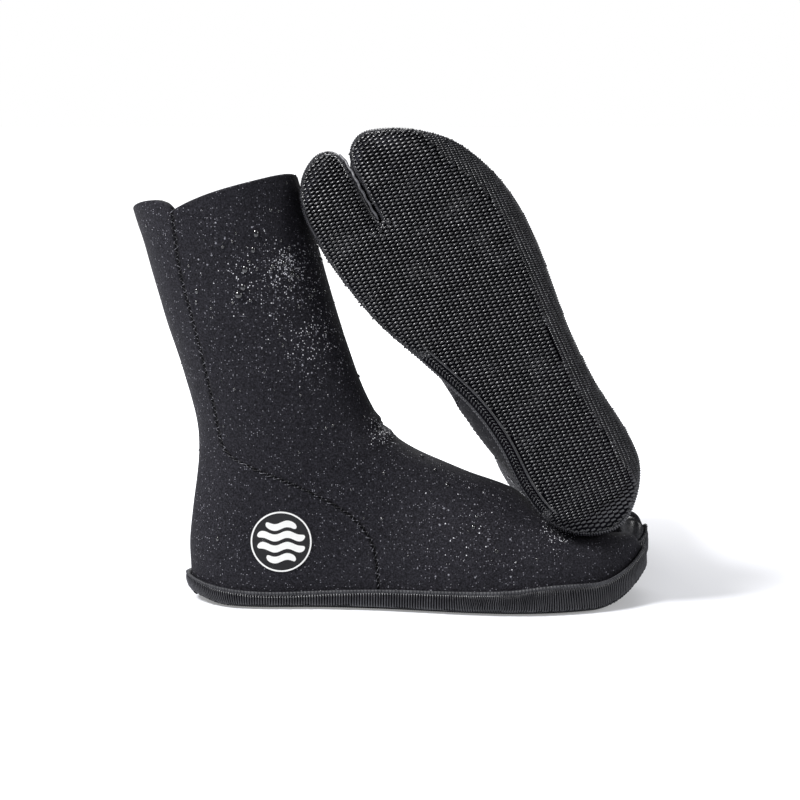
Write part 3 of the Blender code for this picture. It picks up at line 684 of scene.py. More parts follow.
def cap_faces(rings, spokes):
    """A point's cap of rings of spokes points, closed underneath; it faces the point's side."""
    faces = [[0, 1 + j, 1 + (j + 1) % spokes] for j in range(spokes)]
    for a in range(1, 1 + (rings - 1) * spokes, spokes):
        b = a + spokes
        faces += [[a + j, b + j, b + (j + 1) % spokes, a + (j + 1) % spokes]
                  for j in range(spokes)]
    return faces + [list(range(1 + (rings - 1) * spokes, 1 + rings * spokes))[::-1]]


def slab_faces(sheet, size):
    """A closed slab: a sheet on size points, the same sheet on the next size points, its rim."""
    return (sheet + [[i + size for i in f[::-1]] for f in sheet]
            + sorted([b, a, a + size, b + size] for a, b in open_edges(sheet)))


# ---------------------------------------------------------------- materials

def shader_nodes(name, roughness, specular=0.5, **constants):
    """A new material: its tree, its shader and the coordinates in the boot, in millimetres."""
    m = bpy.data.materials.new(name)
    m.use_nodes = True
    tree = m.node_tree
    shader = tree.nodes["Principled BSDF"]
    shader.inputs["Roughness"].default_value = roughness
    shader.inputs["Specular IOR Level"].default_value = specular
    for key, value in constants.items():
        shader.inputs[key.replace("_", " ")].default_value = value
    return m, tree, shader, attribute(tree, "place")["Vector"]


def link(tree, a, b):
    tree.links.new(a, b)


def attribute(tree, name):
    node = tree.nodes.new("ShaderNodeAttribute")
    node.attribute_name = name
    return node.outputs


def scaled(tree, place, factors):
    """The coordinates times three factors."""
    node = tree.nodes.new("ShaderNodeVectorMath")
    node.operation = "MULTIPLY"
    node.inputs[1].default_value = factors
    link(tree, place, node.inputs[0])
    return node.outputs[0]


def noise_of(tree, place, size, detail=3.0, rough=0.55, stretch=(1, 1, 1)):
    """Noise whose features are about size millimetres across."""
    n = tree.nodes.new("ShaderNodeTexNoise")
    n.inputs["Scale"].default_value = 1.0
    n.inputs["Detail"].default_value = detail
    n.inputs["Roughness"].default_value = rough
    link(tree, scaled(tree, place, [s / size for s in stretch]), n.inputs["Vector"])
    return n.outputs["Fac"]


def ramp(tree, value, low, high, to_low=0.0, to_high=1.0):
    node = tree.nodes.new("ShaderNodeMapRange")
    for key, number in (("From Min", low), ("From Max", high), ("To Min", to_low),
                        ("To Max", to_high)):
        node.inputs[key].default_value = number
    link(tree, value, node.inputs["Value"])
    return node.outputs["Result"]


def maths(tree, operation, *values):
    node = tree.nodes.new("ShaderNodeMath")
    node.operation = operation
    for socket, value in zip(node.inputs, values):
        if isinstance(value, (int, float)):
            socket.default_value = value
        else:
            link(tree, value, socket)
    return node.outputs[0]


def blended(tree, factor, a, number):
    """The value a where factor is 0, the number where it is 1."""
    node = tree.nodes.new("ShaderNodeMix")
    link(tree, factor, node.inputs["Factor"])
    link(tree, a, node.inputs[2])
    node.inputs[3].default_value = number
    return node.outputs[0]


def mixed(tree, factor, a, b):
    """Colour a where factor is 0, b where it is 1."""
    node = tree.nodes.new("ShaderNodeMix")
    node.data_type = "RGBA"
    link(tree, factor, node.inputs["Factor"])
    for socket, colour in ((node.inputs[6], a), (node.inputs[7], b)):
        if isinstance(colour, tuple):
            socket.default_value = (*colour, 1.0)
        else:
            link(tree, colour, socket)
    return node.outputs[2]


def bump(tree, height, depth_mm, strength=1.0, under=None):
    node = tree.nodes.new("ShaderNodeBump")
    node.inputs["Strength"].default_value = strength
    node.inputs["Distance"].default_value = depth_mm * MM
    link(tree, height, node.inputs["Height"])
    if under is not None:
        link(tree, under, node.inputs["Normal"])
    return node.outputs["Normal"]


def specks(tree, place, cell, size, share):
    """Round specks in a share of cells about cell millimetres wide: 1 at a speck's middle."""
    cells = tree.nodes.new("ShaderNodeTexVoronoi")
    cells.inputs["Scale"].default_value = 1.0
    link(tree, scaled(tree, place, [1.0 / cell] * 3), cells.inputs["Vector"])
    dome = ramp(tree, cells.outputs["Distance"], size / cell, 0.0)
    pick = tree.nodes.new("ShaderNodeSeparateColor")
    link(tree, cells.outputs["Color"], pick.inputs["Color"])
    chosen = maths(tree, "LESS_THAN", pick.outputs["Red"], share)
    return maths(tree, "MULTIPLY", dome, chosen)


def finished(m, tree, shader, base, normal):
    link(tree, base, shader.inputs["Base Color"])
    link(tree, normal, shader.inputs["Normal"])
    return m


WET_ROUGHNESS = 0.12


def neoprene_material():
    """Jersey-faced neoprene: violet black, fine grained, tiny drops and painted glints where wet.
    """
    m, tree, shader, place = shader_nodes("neoprene_jersey", 0.72, 0.12, Sheen_Weight=0.03,
                                          Sheen_Roughness=0.45)
    grain = noise_of(tree, place, 1.0, 2.0, 0.65)
    cloud = noise_of(tree, place, 34.0, 4.0, 0.55)
    patch = noise_of(tree, place, 3.2, 3.0, 0.6)
    wet = attribute(tree, "wet")["Fac"]
    base = mixed(tree, ramp(tree, cloud, 0.3, 0.7), (0.0030, 0.0028, 0.0044),
                 (0.0062, 0.0060, 0.0084))
    base = mixed(tree, ramp(tree, grain, 0.40, 0.70), base, (0.027, 0.026, 0.033))
    fine = specks(tree, place, 1.15, 0.40, maths(tree, "MULTIPLY_ADD", wet, 0.6, 0.16))
    large = specks(tree, place, 2.6, 0.75, maths(tree, "MULTIPLY", wet, 0.5))
    drops = maths(tree, "MAXIMUM", fine, large)
    # painted highlight: the drops' specks get a light grey that stands in for their glints; their
    # bump and gloss are real
    base = mixed(tree, ramp(tree, drops, 0.05, 0.5), base, (0.24, 0.24, 0.27))
    # painted highlights: near-white glints, the more the wetter
    painted_glints = specks(tree, place, 0.95, 0.42, maths(tree, "MULTIPLY", wet, wet))
    base = mixed(tree, ramp(tree, painted_glints, 0.05, 0.35), base, (0.80, 0.80, 0.84))
    base = mixed(tree, attribute(tree, "seam")["Fac"], base, (0.002, 0.002, 0.003))
    rough = ramp(tree, patch, 0.3, 0.7, 0.62, 0.82)
    link(tree, blended(tree, ramp(tree, drops, 0.05, 0.35), rough, WET_ROUGHNESS),
         shader.inputs["Roughness"])
    return finished(m, tree, shader, base, bump(tree, drops, 0.30, 0.9, bump(tree, grain, 0.35)))


def lining_material():
    """The brushed jersey inside."""
    m, tree, shader, place = shader_nodes("jersey_lining", 0.9, 0.15, Sheen_Weight=0.35,
                                          Sheen_Roughness=0.5)
    grain = noise_of(tree, place, 0.6, 2.0)
    knit = noise_of(tree, place, 1.1, 1.0, 0.4, (1.0, 1.0, 0.25))
    base = mixed(tree, ramp(tree, knit, 0.35, 0.65), (0.014, 0.014, 0.017), (0.036, 0.036, 0.042))
    return finished(m, tree, shader, base, bump(tree, knit, 0.25, 0.8, bump(tree, grain, 0.1)))


def cut_edge_material():
    """The raw cut edge of the foam between its two jerseys."""
    m, tree, shader, place = shader_nodes("neoprene_cut_edge", 0.85, 0.2)
    pores = specks(tree, place, 0.5, 0.22, 0.8)
    base = mixed(tree, pores, (0.020, 0.020, 0.023), (0.007, 0.007, 0.009))
    return finished(m, tree, shader, base, bump(tree, pores, -0.1))


def rubber_material(name, dark, light, rough, groove=None, specular=0.5):
    """Moulded rubber: mottled, fine grained, scuffed, with painted shade in its relief's grooves.
    """
    m, tree, shader, place = shader_nodes(name, rough, specular)
    mottle = noise_of(tree, place, 9.0, 5.0, 0.65)
    grain = noise_of(tree, place, 0.45, 2.0, 0.6)
    scuff = noise_of(tree, place, 2.2, 4.0, 0.7)
    base = mixed(tree, ramp(tree, mottle, 0.38, 0.62), dark, light)
    base = mixed(tree, ramp(tree, scuff, 0.58, 0.80, 0.0, 0.5), base,
                 tuple(c * 2.2 for c in light))
    if groove is not None:
        relief = attribute(tree, "relief")["Fac"]
        # painted shade: low in the relief the colour turns to the near-black groove colour
        base = mixed(tree, ramp(tree, relief, 0.25, 0.92), groove, base)
        # painted shade: near-black metal has no gloss, so the grooves stay dark
        link(tree, ramp(tree, relief, 0.2, 0.7, 1.0, 0.0), shader.inputs["Metallic"])
    link(tree, ramp(tree, scuff, 0.3, 0.7, rough - 0.12, rough + 0.16),
         shader.inputs["Roughness"])
    drops = specks(tree, place, 1.7, 0.42, 0.12)
    return finished(m, tree, shader, base, bump(tree, drops, 0.25, 0.8, bump(tree, grain, 0.05)))


def thread_material():
    m, tree, shader, place = shader_nodes("seam_thread", 0.55, 0.4)
    twist = noise_of(tree, place, 0.35, 1.0)
    fleck = noise_of(tree, place, 1.3, 1.0)
    base = mixed(tree, ramp(tree, fleck, 0.52, 0.60), (0.002, 0.002, 0.003), (0.16, 0.16, 0.18))
    return finished(m, tree, shader, base, bump(tree, twist, 0.08))


def tape_material():
    m, tree, shader, place = shader_nodes("glued_seam_tape", 0.5, 0.35)
    weave = noise_of(tree, place, 0.8, 1.0, 0.4, (1.0, 1.0, 0.5))
    base = mixed(tree, ramp(tree, weave, 0.35, 0.65), (0.012, 0.012, 0.014), (0.030, 0.030, 0.034))
    return finished(m, tree, shader, base, bump(tree, weave, 0.12))


def print_material(name, colour, worn, rough):
    m, tree, shader, place = shader_nodes(name, rough, 0.4)
    scuff = noise_of(tree, place, 1.6, 4.0, 0.7)
    grain = noise_of(tree, place, 0.4, 2.0)
    base = mixed(tree, ramp(tree, scuff, 0.56, 0.82, 0.0, 0.6), colour, worn)
    return finished(m, tree, shader, base, bump(tree, grain, 0.04))


def water_material():
    """Beads of water on black cloth: glossy domes, as dark as the cloth under them."""
    m, tree, shader, place = shader_nodes("water_bead", 0.03, 0.5, Coat_Weight=1.0,
                                          Coat_Roughness=0.02)
    tint = noise_of(tree, place, 4.0, 1.0)
    base = mixed(tree, ramp(tree, tint, 0.3, 0.7), (0.004, 0.004, 0.005), (0.012, 0.012, 0.014))
    link(tree, base, shader.inputs["Base Color"])
    return m


# ---------------------------------------------------------------- upper, seams and water

# the wet patches, where the drops and the neoprene's painted glints are thickest
WET_AND_GLINT_PLACES = [((64, 203), 9.0, 1.0), ((66, 198), 22.0, 0.55), ((80, 160), 24.0, 0.4),
              ((40, 200), 26.0, 0.25), ((121, 104), 8.0, 0.9), ((224, 47), 9.0, 0.8),
              ((170, 45), 30.0, 0.15)]


def wet_and_glint_share(verts):
    """How wet each point is, and so its painted glints: more on the front of the shaft, at the
    instep and the toes.
    """
    wet = np.zeros(len(verts))
    for (x, z), reach, weight in WET_AND_GLINT_PLACES:
        far = np.hypot(verts[:, 0] - x, verts[:, 2] - z) / reach
        wet = np.maximum(wet, weight * np.exp(-far ** 2))
    return wet


def add_panels(side, skin, looks):
    for panel, nodes in (("front", ("vamp_panel", "instep_flex", "shin_panel")),
                         ("rear", ("heel_panel", "achilles_flex", "calf_panel"))):
        verts, faces, marks, seam = skin.solid(panel)
        piece = make_piece(side, panel + "_panel", verts, faces,
                           [looks["neoprene"], looks["lining"], looks["cut_edge"]], marks,
                           facts={"wet": wet_and_glint_share(verts), "seam": seam}, sharp=50)
        bend(piece)
        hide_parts(*[f"{side}_{n}" for n in nodes])


def bend(piece):
    """The piece's place is baked into its mesh."""
    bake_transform(piece)


def seam_path(side_sign):
    """Points of the seam from the collar down, each with the surface's own directions."""
    rows = []
    for s in skin_sections():
        if s.seam <= 0:
            break
        step = s.per_mm(s.seam)
        here, ahead = s.surface(s.seam, side_sign), s.surface(s.seam + step, side_sign)
        rows.append((np.array(here), np.array(ahead) - np.array(here)))
    points = np.array([r[0] for r in rows])
    points[:, 2] -= collar_drop(points)
    across = unit(np.array([r[1] for r in rows]))
    out = unit(np.cross(across, unit(np.gradient(points, axis=0))) * side_sign)
    out[out[:, 1] * side_sign < 0] *= -1
    return lengths_along(points), points, across, out


STITCH_PITCH, STITCH_HALF = 2.2, 1.7
THREAD, THREAD_FLAT, THREAD_SIDES = 0.22, 0.8, 5
STITCH_LINE = [(-1.0, 0.02), (-0.55, 0.34), (0.0, -0.16), (0.55, 0.34), (1.0, 0.02)]
STITCH_START, STITCH_END = 1.5, 8.0            # mm of the seam left bare at the collar, the sole


def stitches(side_sign):
    """Zigzag stitches across the seam, which dip into its ditch."""
    along, *path = seam_path(side_sign)
    parts = []
    for k in range(int((along[-1] - STITCH_END) / STITCH_PITCH)):
        start = STITCH_START + k * STITCH_PITCH
        lean = STITCH_PITCH * (0.5 if k % 2 else -0.5)
        rings = []
        for u, lift in STITCH_LINE:
            here, aside, up = (read_at(start + lean * u, along, line) for line in path)
            centre = here + aside * u * STITCH_HALF + up * lift
            down = np.cross(aside, up)
            rings.append([centre + THREAD * (math.cos(a) * down + math.sin(a) * up * THREAD_FLAT)
                          for a in turns(THREAD_SIDES)])
        verts = [p for ring in rings for p in ring]
        parts.append((verts, ring_faces(len(rings), THREAD_SIDES, closed=False)))
    return joined(parts)


def add_stitches(side, looks):
    piece = make_piece(side, "seam_stitching", *joined([stitches(-1), stitches(1)]),
                       [looks["thread"]])
    bend(piece)


TAPE_HALF_WIDTH, TAPE_THICKNESS, TAPE_LIFT = 5.0, 0.6, 0.15
TAPE_MARGIN, TAPE_FROM_ROW = 3.0, 5            # mm to the back line; sections from the collar


def add_tapes(side, looks):
    """The tapes glued over the seams inside, from the collar down to the sole."""
    for word, sign in (("lateral", -1), ("medial", 1)):
        rows = []
        for s in skin_sections():
            if s.seam <= 0 or s.seam / s.per_mm(s.seam) < TAPE_HALF_WIDTH + TAPE_MARGIN:
                continue
            ts = [s.seam + u * TAPE_HALF_WIDTH * s.per_mm(s.seam) for u in np.linspace(-1, 1, 7)]
            rows.append([s.surface(t, sign) for t in ts])
        rows = np.array(rows[TAPE_FROM_ROW:])
        rows[..., 2] -= collar_drop(rows)
        n = unit(np.cross(np.gradient(rows, axis=0), np.gradient(rows, axis=1)))
        n[n[:, :, 1] * sign < 0] *= -1
        top = rows - n * (NEOPRENE + TAPE_LIFT)
        loops = np.concatenate([top, (top - n * TAPE_THICKNESS)[:, ::-1]], axis=1)
        count, size = loops.shape[:2]
        faces = ring_faces(count, size, closed=False)
        if sign < 0:
            faces = [f[::-1] for f in faces]
        piece = make_piece(side, word + "_seam_tape", loops.reshape(-1, 3), faces,
                           [looks["tape"]], sharp=40)
        bend(piece)
        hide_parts(f"{side}_{word}_foot_tape", f"{side}_{word}_shaft_tape")


DROP_RINGS, DROP_SPOKES, DROP_SUNK = 3, 8, 0.1


def dome(radius, height):
    """A low drop, flat side down, about the origin and along z."""
    verts = [(0.0, 0.0, height)]
    for k in range(1, DROP_RINGS + 1):
        a = math.pi / 2 * k / DROP_RINGS
        sunk = DROP_SUNK if k == DROP_RINGS else 0.0
        verts += [(radius * math.sin(a) * math.cos(b), radius * math.sin(a) * math.sin(b),
                   height * math.cos(a) - sunk) for b in turns(DROP_SPOKES)]
    return np.array(verts), cap_faces(DROP_RINGS, DROP_SPOKES)


DROP_COUNT, DROP_SEED, DROPS_ABOVE = 650, 11, 26.0              # the last in mm of height
SMALLEST_DROP, DROP_SPREAD = 0.25, 1.1         # radii in mm: most drops are close to the smallest
LARGE_DROPS = [(48.0, 223.0, 1.9), (45.0, 212.0, 1.5), (40.0, 201.5, 2.0), (36.5, 187.5, 2.6),
               (39.5, 190.5, 1.8), (66.0, 199.0, 2.0), (62.0, 205.0, 1.4), (70.0, 196.0, 1.5),
               (118.0, 104.0, 1.6), (122.0, 101.0, 1.3)]     # x, z on the outer side, radius


def add_beads(side, skin, looks):
    """Beads of water on the upper, most of them where it is wet."""
    rng = random.Random(DROP_SEED + len(side))
    outer = skin.outer()
    wet = wet_and_glint_share(skin.verts)
    faces = [f for f in skin.all_faces() if skin.verts[f[0], 2] > DROPS_ABOVE]
    sizes = np.array([np.linalg.norm(np.cross(outer[f[2]] - outer[f[0]],
                                              outer[f[-1]] - outer[f[1]])) for f in faces])
    weights = sizes * (0.06 + np.array([wet[f].mean() for f in faces]))
    places = []
    for f in rng.choices(faces, weights=weights, k=DROP_COUNT):
        u, v = rng.random(), rng.random()
        corner = outer[[f[0], f[1], f[2], f[-1]]]
        centre = ((corner[0] * (1 - u) + corner[1] * u) * (1 - v)
                  + (corner[3] * (1 - u) + corner[2] * u) * v)
        up = Vector(skin.normals[f].mean(axis=0)).normalized()
        places.append((centre, up, SMALLEST_DROP + DROP_SPREAD * rng.random() ** 4))
    inner_side = skin.verts[:, 1] > 0
    for x, z, radius in LARGE_DROPS:
        far = np.hypot(outer[:, 0] - x, outer[:, 2] - z)
        i = np.where(inner_side, math.inf, far).argmin()
        places.append((outer[i], Vector(skin.normals[i]), radius))
    parts = []
    for centre, up, radius in places:
        verts, some = dome(radius, radius * rng.uniform(0.55, 0.8))
        verts = verts * (1.0, rng.uniform(0.8, 1.5), 1.0)
        turn = np.array(up.to_track_quat("Z", "Y").to_matrix())
        parts.append((verts @ turn.T + centre, some))
    piece = make_piece(side, "water_beads", *joined(parts), [looks["water"]])
    bend(piece)


# ---------------------------------------------------------------- rubber: band, sole, guard

def band_profile(height, lip):
    """The band's section from under the sole's edge, up its face and over to the neoprene.

    Each point has its depth in from the outline, its height, and its shares of ribs and beads.
    """
    rolled = [(d, SOLE_ROLL_RISE * (1 - d / SOLE_ROLL) ** SOLE_ROLL_POWER, ribs, 0)
              for d, ribs in ((2.4, 0), (1.5, 0.3), (0.8, 0.6))]
    face = [(0.3, 2.75, 0.9, 0), (0.06, 3.9, 1, 0), (0.0, 0.5 * height, 1, 0),
            (0.08, 0.64 * height, 1, 0), (0.28, 0.78 * height, 1, 0),
            (0.55, height - 2.3, 0.85, 0)]
    beading = [(0.95, height - 1.9, 0.1, 0.2), (0.62, height - 1.5, 0, 0.8),
               (0.42, height - 0.95, 0, 1), (0.55, height - 0.4, 0, 1),
               (1.0, height - 0.05, 0, 0.8), (1.6, height - 0.1, 0, 0.4)]
    inside = [(0.5 * (lip + 1.5), height - 0.5, 0, 0), (lip, height - 1.1, 0, 0),
              (lip, height - 2.6, 0, 0), (BAND_THICKNESS, 5.0, 0, 0), (3.4, 3.4, 0, 0)]
    return [(3.4, 2.6, 0, 0)] + rolled + face + beading + inside


BAND_TOP_INSET = 6.5           # mm in from the outline, where the neoprene's height is read
BAND_BELOW_TOP = 1.0           # the band ends at least this far below it
LIP_BITE, LIP_LEAST = 0.25, 3.0                # the lip reaches this far into the neoprene
LEAN_MOST, LEAN_POWER = 14.0, 2.5              # how the band follows the toes' dome inwards
BIG_TOE_CAP, CAP_X, CAP_Y = 3.5, (262.0, 279.0), (19.0, 31.0)    # the band rises at the big toe
RIB_SLANT, RIB_SLANT_X = 1.4, (150.0, 230.0)   # the ribs lean towards the toes
ARCH_RISE, ARCH_FALL = (20.0, 34.0), (150.0, 170.0)              # in x: the coarser ribs
SPLIT_FROM, SPLIT_Y, SPLIT_HALF = 226.0, 15.5, 4.5
SPLIT_RIBS = 0.3                               # the ribs are fainter in the split
BEAD_FACES = (10, 15)          # the profile's points that lie on the beaded edge


def evened(values, reach=9):
    """A closed run of values, without its gaps and with its steps smoothed."""
    at = np.arange(len(values))
    known = ~np.isnan(values)
    values = np.interp(at, at[known], values[known], period=len(values))
    padded = np.concatenate([values[-reach:], values, values[:reach]])
    return np.convolve(padded, np.ones(2 * reach + 1) / (2 * reach + 1), "valid")


def skin_depths(tree, loop, normals, levels):
    """How far in from the outline the neoprene lies, at one height for each point."""
    depths = []
    for p, n, z in zip(loop, normals, levels):
        hit = tree.ray_cast(Vector((p[0], p[1], z + spring(p[0]))),
                            Vector((-n[0], -n[1], 0.0)), 20.0)
        depths.append(hit[3] if hit[0] is not None else np.nan)
    return evened(np.array(depths))


def skin_tops(tree, loop, normals):
    """How high the neoprene stands just inside the band, above the sprung ground."""
    tops = []
    for p, n in zip(loop, normals):
        q = p - n * BAND_TOP_INSET
        hit = tree.ray_cast(Vector((q[0], q[1], 300.0)), Vector((0.0, 0.0, -1.0)))
        tops.append(hit[0].z - spring(p[0]) if hit[0] is not None else np.nan)
    return evened(np.array(tops), 14)


def add_band(side, skin, looks):
    """The sidewall: a ribbed band with a beaded upper edge, which rolls in under the sole."""
    loop = evenly(sole_outline(60), BAND_STEP)
    normals = outward_normals(loop)
    tree = BVHTree.FromPolygons(skin.outer().tolist(), skin.all_faces())
    cap = BIG_TOE_CAP * smooth(loop[:, 0], *CAP_X) * smooth(loop[:, 1], *CAP_Y)
    heights = np.minimum(band_height(loop[:, 0]) + cap,
                         skin_tops(tree, loop, normals) - BAND_BELOW_TOP)
    lips = np.maximum(skin_depths(tree, loop, normals, heights - 1.0) + LIP_BITE, LIP_LEAST)
    leans = np.clip(skin_depths(tree, loop, normals, heights - 0.4) - UPPER_INSET, 0.0, LEAN_MOST)
    length = len(loop) * BAND_STEP
    along = np.arange(len(loop)) * BAND_STEP
    arch = window(loop[:, 0], ARCH_RISE, ARCH_FALL) * (loop[:, 1] > 0)
    in_split = (loop[:, 0] > SPLIT_FROM) & (np.abs(loop[:, 1] - SPLIT_Y) < SPLIT_HALF)
    rib_height = np.where(in_split, SPLIT_RIBS, 1.0)
    pitch = length / round(length / RIB_PITCH)
    arch_pitch = length / round(length / ARCH_PITCH)
    slant = RIB_SLANT * smooth(loop[:, 0], *RIB_SLANT_X)
    rows, relief = [], []
    for i in range(len(loop)):
        ring = []
        for depth, z, face, bead in band_profile(heights[i], lips[i]):
            s = along[i] + slant[i] * z
            fine = RIB_DEPTH * (0.5 + 0.5 * math.cos(2 * math.pi * s / pitch))
            bold = ARCH_DEPTH * (0.5 + 0.5 * math.cos(2 * math.pi * s / arch_pitch))
            ribs = fine * (1 - arch[i]) + bold * arch[i]
            groove = face * ribs / (RIB_DEPTH * (1 - arch[i]) + ARCH_DEPTH * arch[i])
            # the relief feeds the band's painted shade: dark in the ribs' grooves, half dark under
            # the sole and on the lip, little on the beads
            relief.append(1 - groove if depth < 1.3 and bead < 1 else 0.5 + 0.5 * bead)
            swell = BEAD_SWELL * math.cos(2 * math.pi * along[i] / BEAD_PITCH)
            inward = depth + face * ribs * rib_height[i] - bead * swell
            if depth < BAND_THICKNESS:
                inward = inward + leans[i] * min(max(z / heights[i], 0.0), 1.0) ** LEAN_POWER
            inward = min(inward, lips[i])
            p = loop[i] - normals[i] * inward
            lift = heel_rise(loop[i, 0]) * max(1 - z / heights[i], 0.0)
            ring.append((p[0], p[1], z + spring(p[0]) + lift))
        rows.append(ring)
    verts = tucked(np.array(rows).reshape(-1, 3))
    faces = ring_faces(len(rows), len(rows[0]))
    beaded = [1 if BEAD_FACES[0] <= k % len(rows[0]) < BEAD_FACES[1] else 0
              for k in range(len(faces))]
    piece = make_piece(side, "sidewall_band", verts, faces, [looks["band"], looks["beading"]],
                       beaded, facts={"relief": relief})
    fit(piece, side, "sidewall_rubber", "sidewall")


class Distance:
    """How far inside the sole's outline a point lies, read from a grid of 1 mm."""

    def __init__(self):
        self.xs = np.arange(-4.0, 286.0)
        self.ys = np.arange(-60.0, 62.0)
        gx, gy = np.meshgrid(self.xs, self.ys, indexing="ij")
        p = np.column_stack([gx.ravel(), gy.ravel()])
        far = np.full(len(p), 1e9)
        inside = np.zeros(len(p), bool)
        for a, b in zip(OUTLINE, np.roll(OUTLINE, -1, axis=0)):
            ab = b - a
            t = np.clip(((p - a) @ ab) / max(ab @ ab, 1e-12), 0, 1)
            far = np.minimum(far, np.hypot(*(p - a - t[:, None] * ab).T))
            crosses = (a[1] > p[:, 1]) != (b[1] > p[:, 1])
            with np.errstate(divide="ignore", invalid="ignore"):
                at = a[0] + (p[:, 1] - a[1]) / (b[1] - a[1]) * ab[0]
            inside ^= crosses & (p[:, 0] < at)
        self.values = np.where(inside, far, -far).reshape(gx.shape)

    def __call__(self, x, y):
        i = np.clip(np.asarray(x) - self.xs[0], 0, len(self.xs) - 1.001)
        j = np.clip(np.asarray(y) - self.ys[0], 0, len(self.ys) - 1.001)
        a, b = i.astype(int), j.astype(int)
        u, v = i - a, j - b
        g = self.values
        return ((g[a, b] * (1 - u) + g[a + 1, b] * u) * (1 - v)
                + (g[a, b + 1] * (1 - u) + g[a + 1, b + 1] * u) * v)


DISTANCE = Distance()


def sole_z(x, y):
    """Height of the sole's under face: its edge rolls up and its toes spring."""
    d = np.maximum(DISTANCE(x, y), 0.0)
    roll = SOLE_ROLL_RISE * np.clip(1 - d / SOLE_ROLL, 0, 1) ** SOLE_ROLL_POWER
    lift = np.minimum(roll + heel_rise(np.asarray(x, float)), PLATE_TOP - 0.3)
    return lift + spring(np.asarray(x, float))


def plan_mesh(rings, xs, ys, clear):
    """Triangles inside the first of the sole's insets (depth, step), in (x, y).

    The other insets and a grid of xs and ys more than clear inside the outline give points.
    """
    runs = [evenly(inset(OUTLINE, depth), step) for depth, step in rings]
    points = [tuple(p) for run in runs for p in run]
    points += [(x, y) for x in xs for y in ys if DISTANCE(x, y) > clear]
    count = len(runs[0])
    edges = [(i, (i + 1) % count) for i in range(count)]
    flat, _, tris, _, _, _ = geometry.delaunay_2d_cdt(
        [Vector(p) for p in points], edges, [], 1, 1e-4)
    return np.array([tuple(p) for p in flat]), [list(t) for t in tris]


def sole_mesh():
    """The tread plate: its rolled under face, a wall and a flat top, as one closed body."""
    flat, tris = plan_mesh([(1.6, 1.6), (2.6, 2.0), (4.2, 2.4), (6.6, 3.0), (9.6, 4.0)],
                           np.arange(2.0, 280.0, 5.0), np.arange(-56.0, 58.0, 5.0), 12.0)
    low = np.column_stack([flat, sole_z(flat[:, 0], flat[:, 1])])
    top = np.column_stack([flat, PLATE_TOP + spring(flat[:, 0])])
    return np.vstack([low, top]), slab_faces([t[::-1] for t in tris], len(flat))


SQUARENESS = 2.6               # 2 would be round


def bump_template(rings, spokes):
    """A rounded lens on the unit square: (across, along, height) and its faces."""
    verts = [(0.0, 0.0, 1.0)]
    for radius, height in rings:
        for a in turns(spokes):
            c, s = math.cos(a), math.sin(a)
            corner = (abs(c) ** SQUARENESS + abs(s) ** SQUARENESS) ** (-1 / SQUARENESS)
            verts.append((radius * c * corner, radius * s * corner, height))
    *cap, underside = cap_faces(len(rings), spokes)
    return np.array(verts), [f[:1] + f[:0:-1] for f in cap] + [underside[::-1]]


LENS = bump_template([(0.45, 0.90), (0.80, 0.58), (1.0, -0.25)], 8)
GRAIN = bump_template([(0.55, 0.80), (1.0, -0.25)], 6)


def bumps(template, centres, half_across, half_along, heights, angles):
    """Bumps on the sole's under face; angles turn each one's length from straight across.

    Sizes, heights and angles are one for each centre, or one for all.
    """
    shape, faces = template
    half_across, half_along, heights, angles = (
        np.broadcast_to(v, len(centres))[:, None]
        for v in (half_across, half_along, heights, angles))
    c, s = np.cos(angles), np.sin(angles)
    u, v = shape[None, :, 0] * half_across, shape[None, :, 1] * half_along
    outward, toeward = u * c - v * s, u * s + v * c
    x = centres[:, 0, None] + toeward
    y = centres[:, 1, None] - outward
    z = sole_z(x, y) - shape[None, :, 2] * heights
    verts = np.stack([x, y, z], axis=2).reshape(-1, 3)
    size = len(shape)
    every = [[i + k * size for i in f] for k in range(len(centres)) for f in faces]
    # how high each point stands, which the tread's material turns into painted shade where it is
    # low
    relief = np.tile(np.clip(shape[:, 2], 0.0, 1.0), len(centres))
    return verts, every, relief


def lattice(scale):
    """Centres of a staggered lattice over the sole, in (x, y)."""
    across, along = np.array(TREAD_ACROSS) * scale, np.array(TREAD_ALONG) * scale
    points = []
    for i in range(-int(130 / across[0]), int(70 / across[0])):
        for j in range(-int(30 / along[1]), int(300 / along[1])):
            outward, toeward = across * i + along * (j + 0.5 * (i % 2))
            points.append((toeward, -outward))
    return np.array(points)


STRIP_OUTER, STRIP_INNER, STRIP_LEAST = 11.5, 8.5, 0.9           # mm, at its widest
ARCH_FROM, ARCH_TO, ARCH_INSIDE = 34.0, 150.0, 4.0               # in x, and in y
WEAR_SIZE, EDGE_FADE, HEEL_BUMPS_UP_TO = 17.0, 7.0, (50.0, 95.0)
EDGE_HEIGHT, EDGE_SIZE = 0.55, 0.84            # shares of a bump's measures beside the strip
TREAD_TURN = math.radians(-4.0)
GRAIN_PITCH, GRAIN_SIZE, GRAIN_HEIGHT, GRAIN_OVERLAP = 0.62, 0.58, 0.40, 1.2


def edge_strip(x, y):
    """Width of the finely grained strip along the sole's edge at a point."""
    outer = (1 - smooth(y, -12.0, 0.0)) * window(x, (8.0, 40.0), (235.0, 268.0))
    inner = smooth(y, 4.0, 14.0) * window(x, (22.0, 40.0), (140.0, 165.0))
    return np.maximum(np.maximum(STRIP_OUTER * outer, STRIP_INNER * inner), STRIP_LEAST)


def on_arch(x, y):
    return (y > ARCH_INSIDE) & (x > ARCH_FROM) & (x < ARCH_TO)


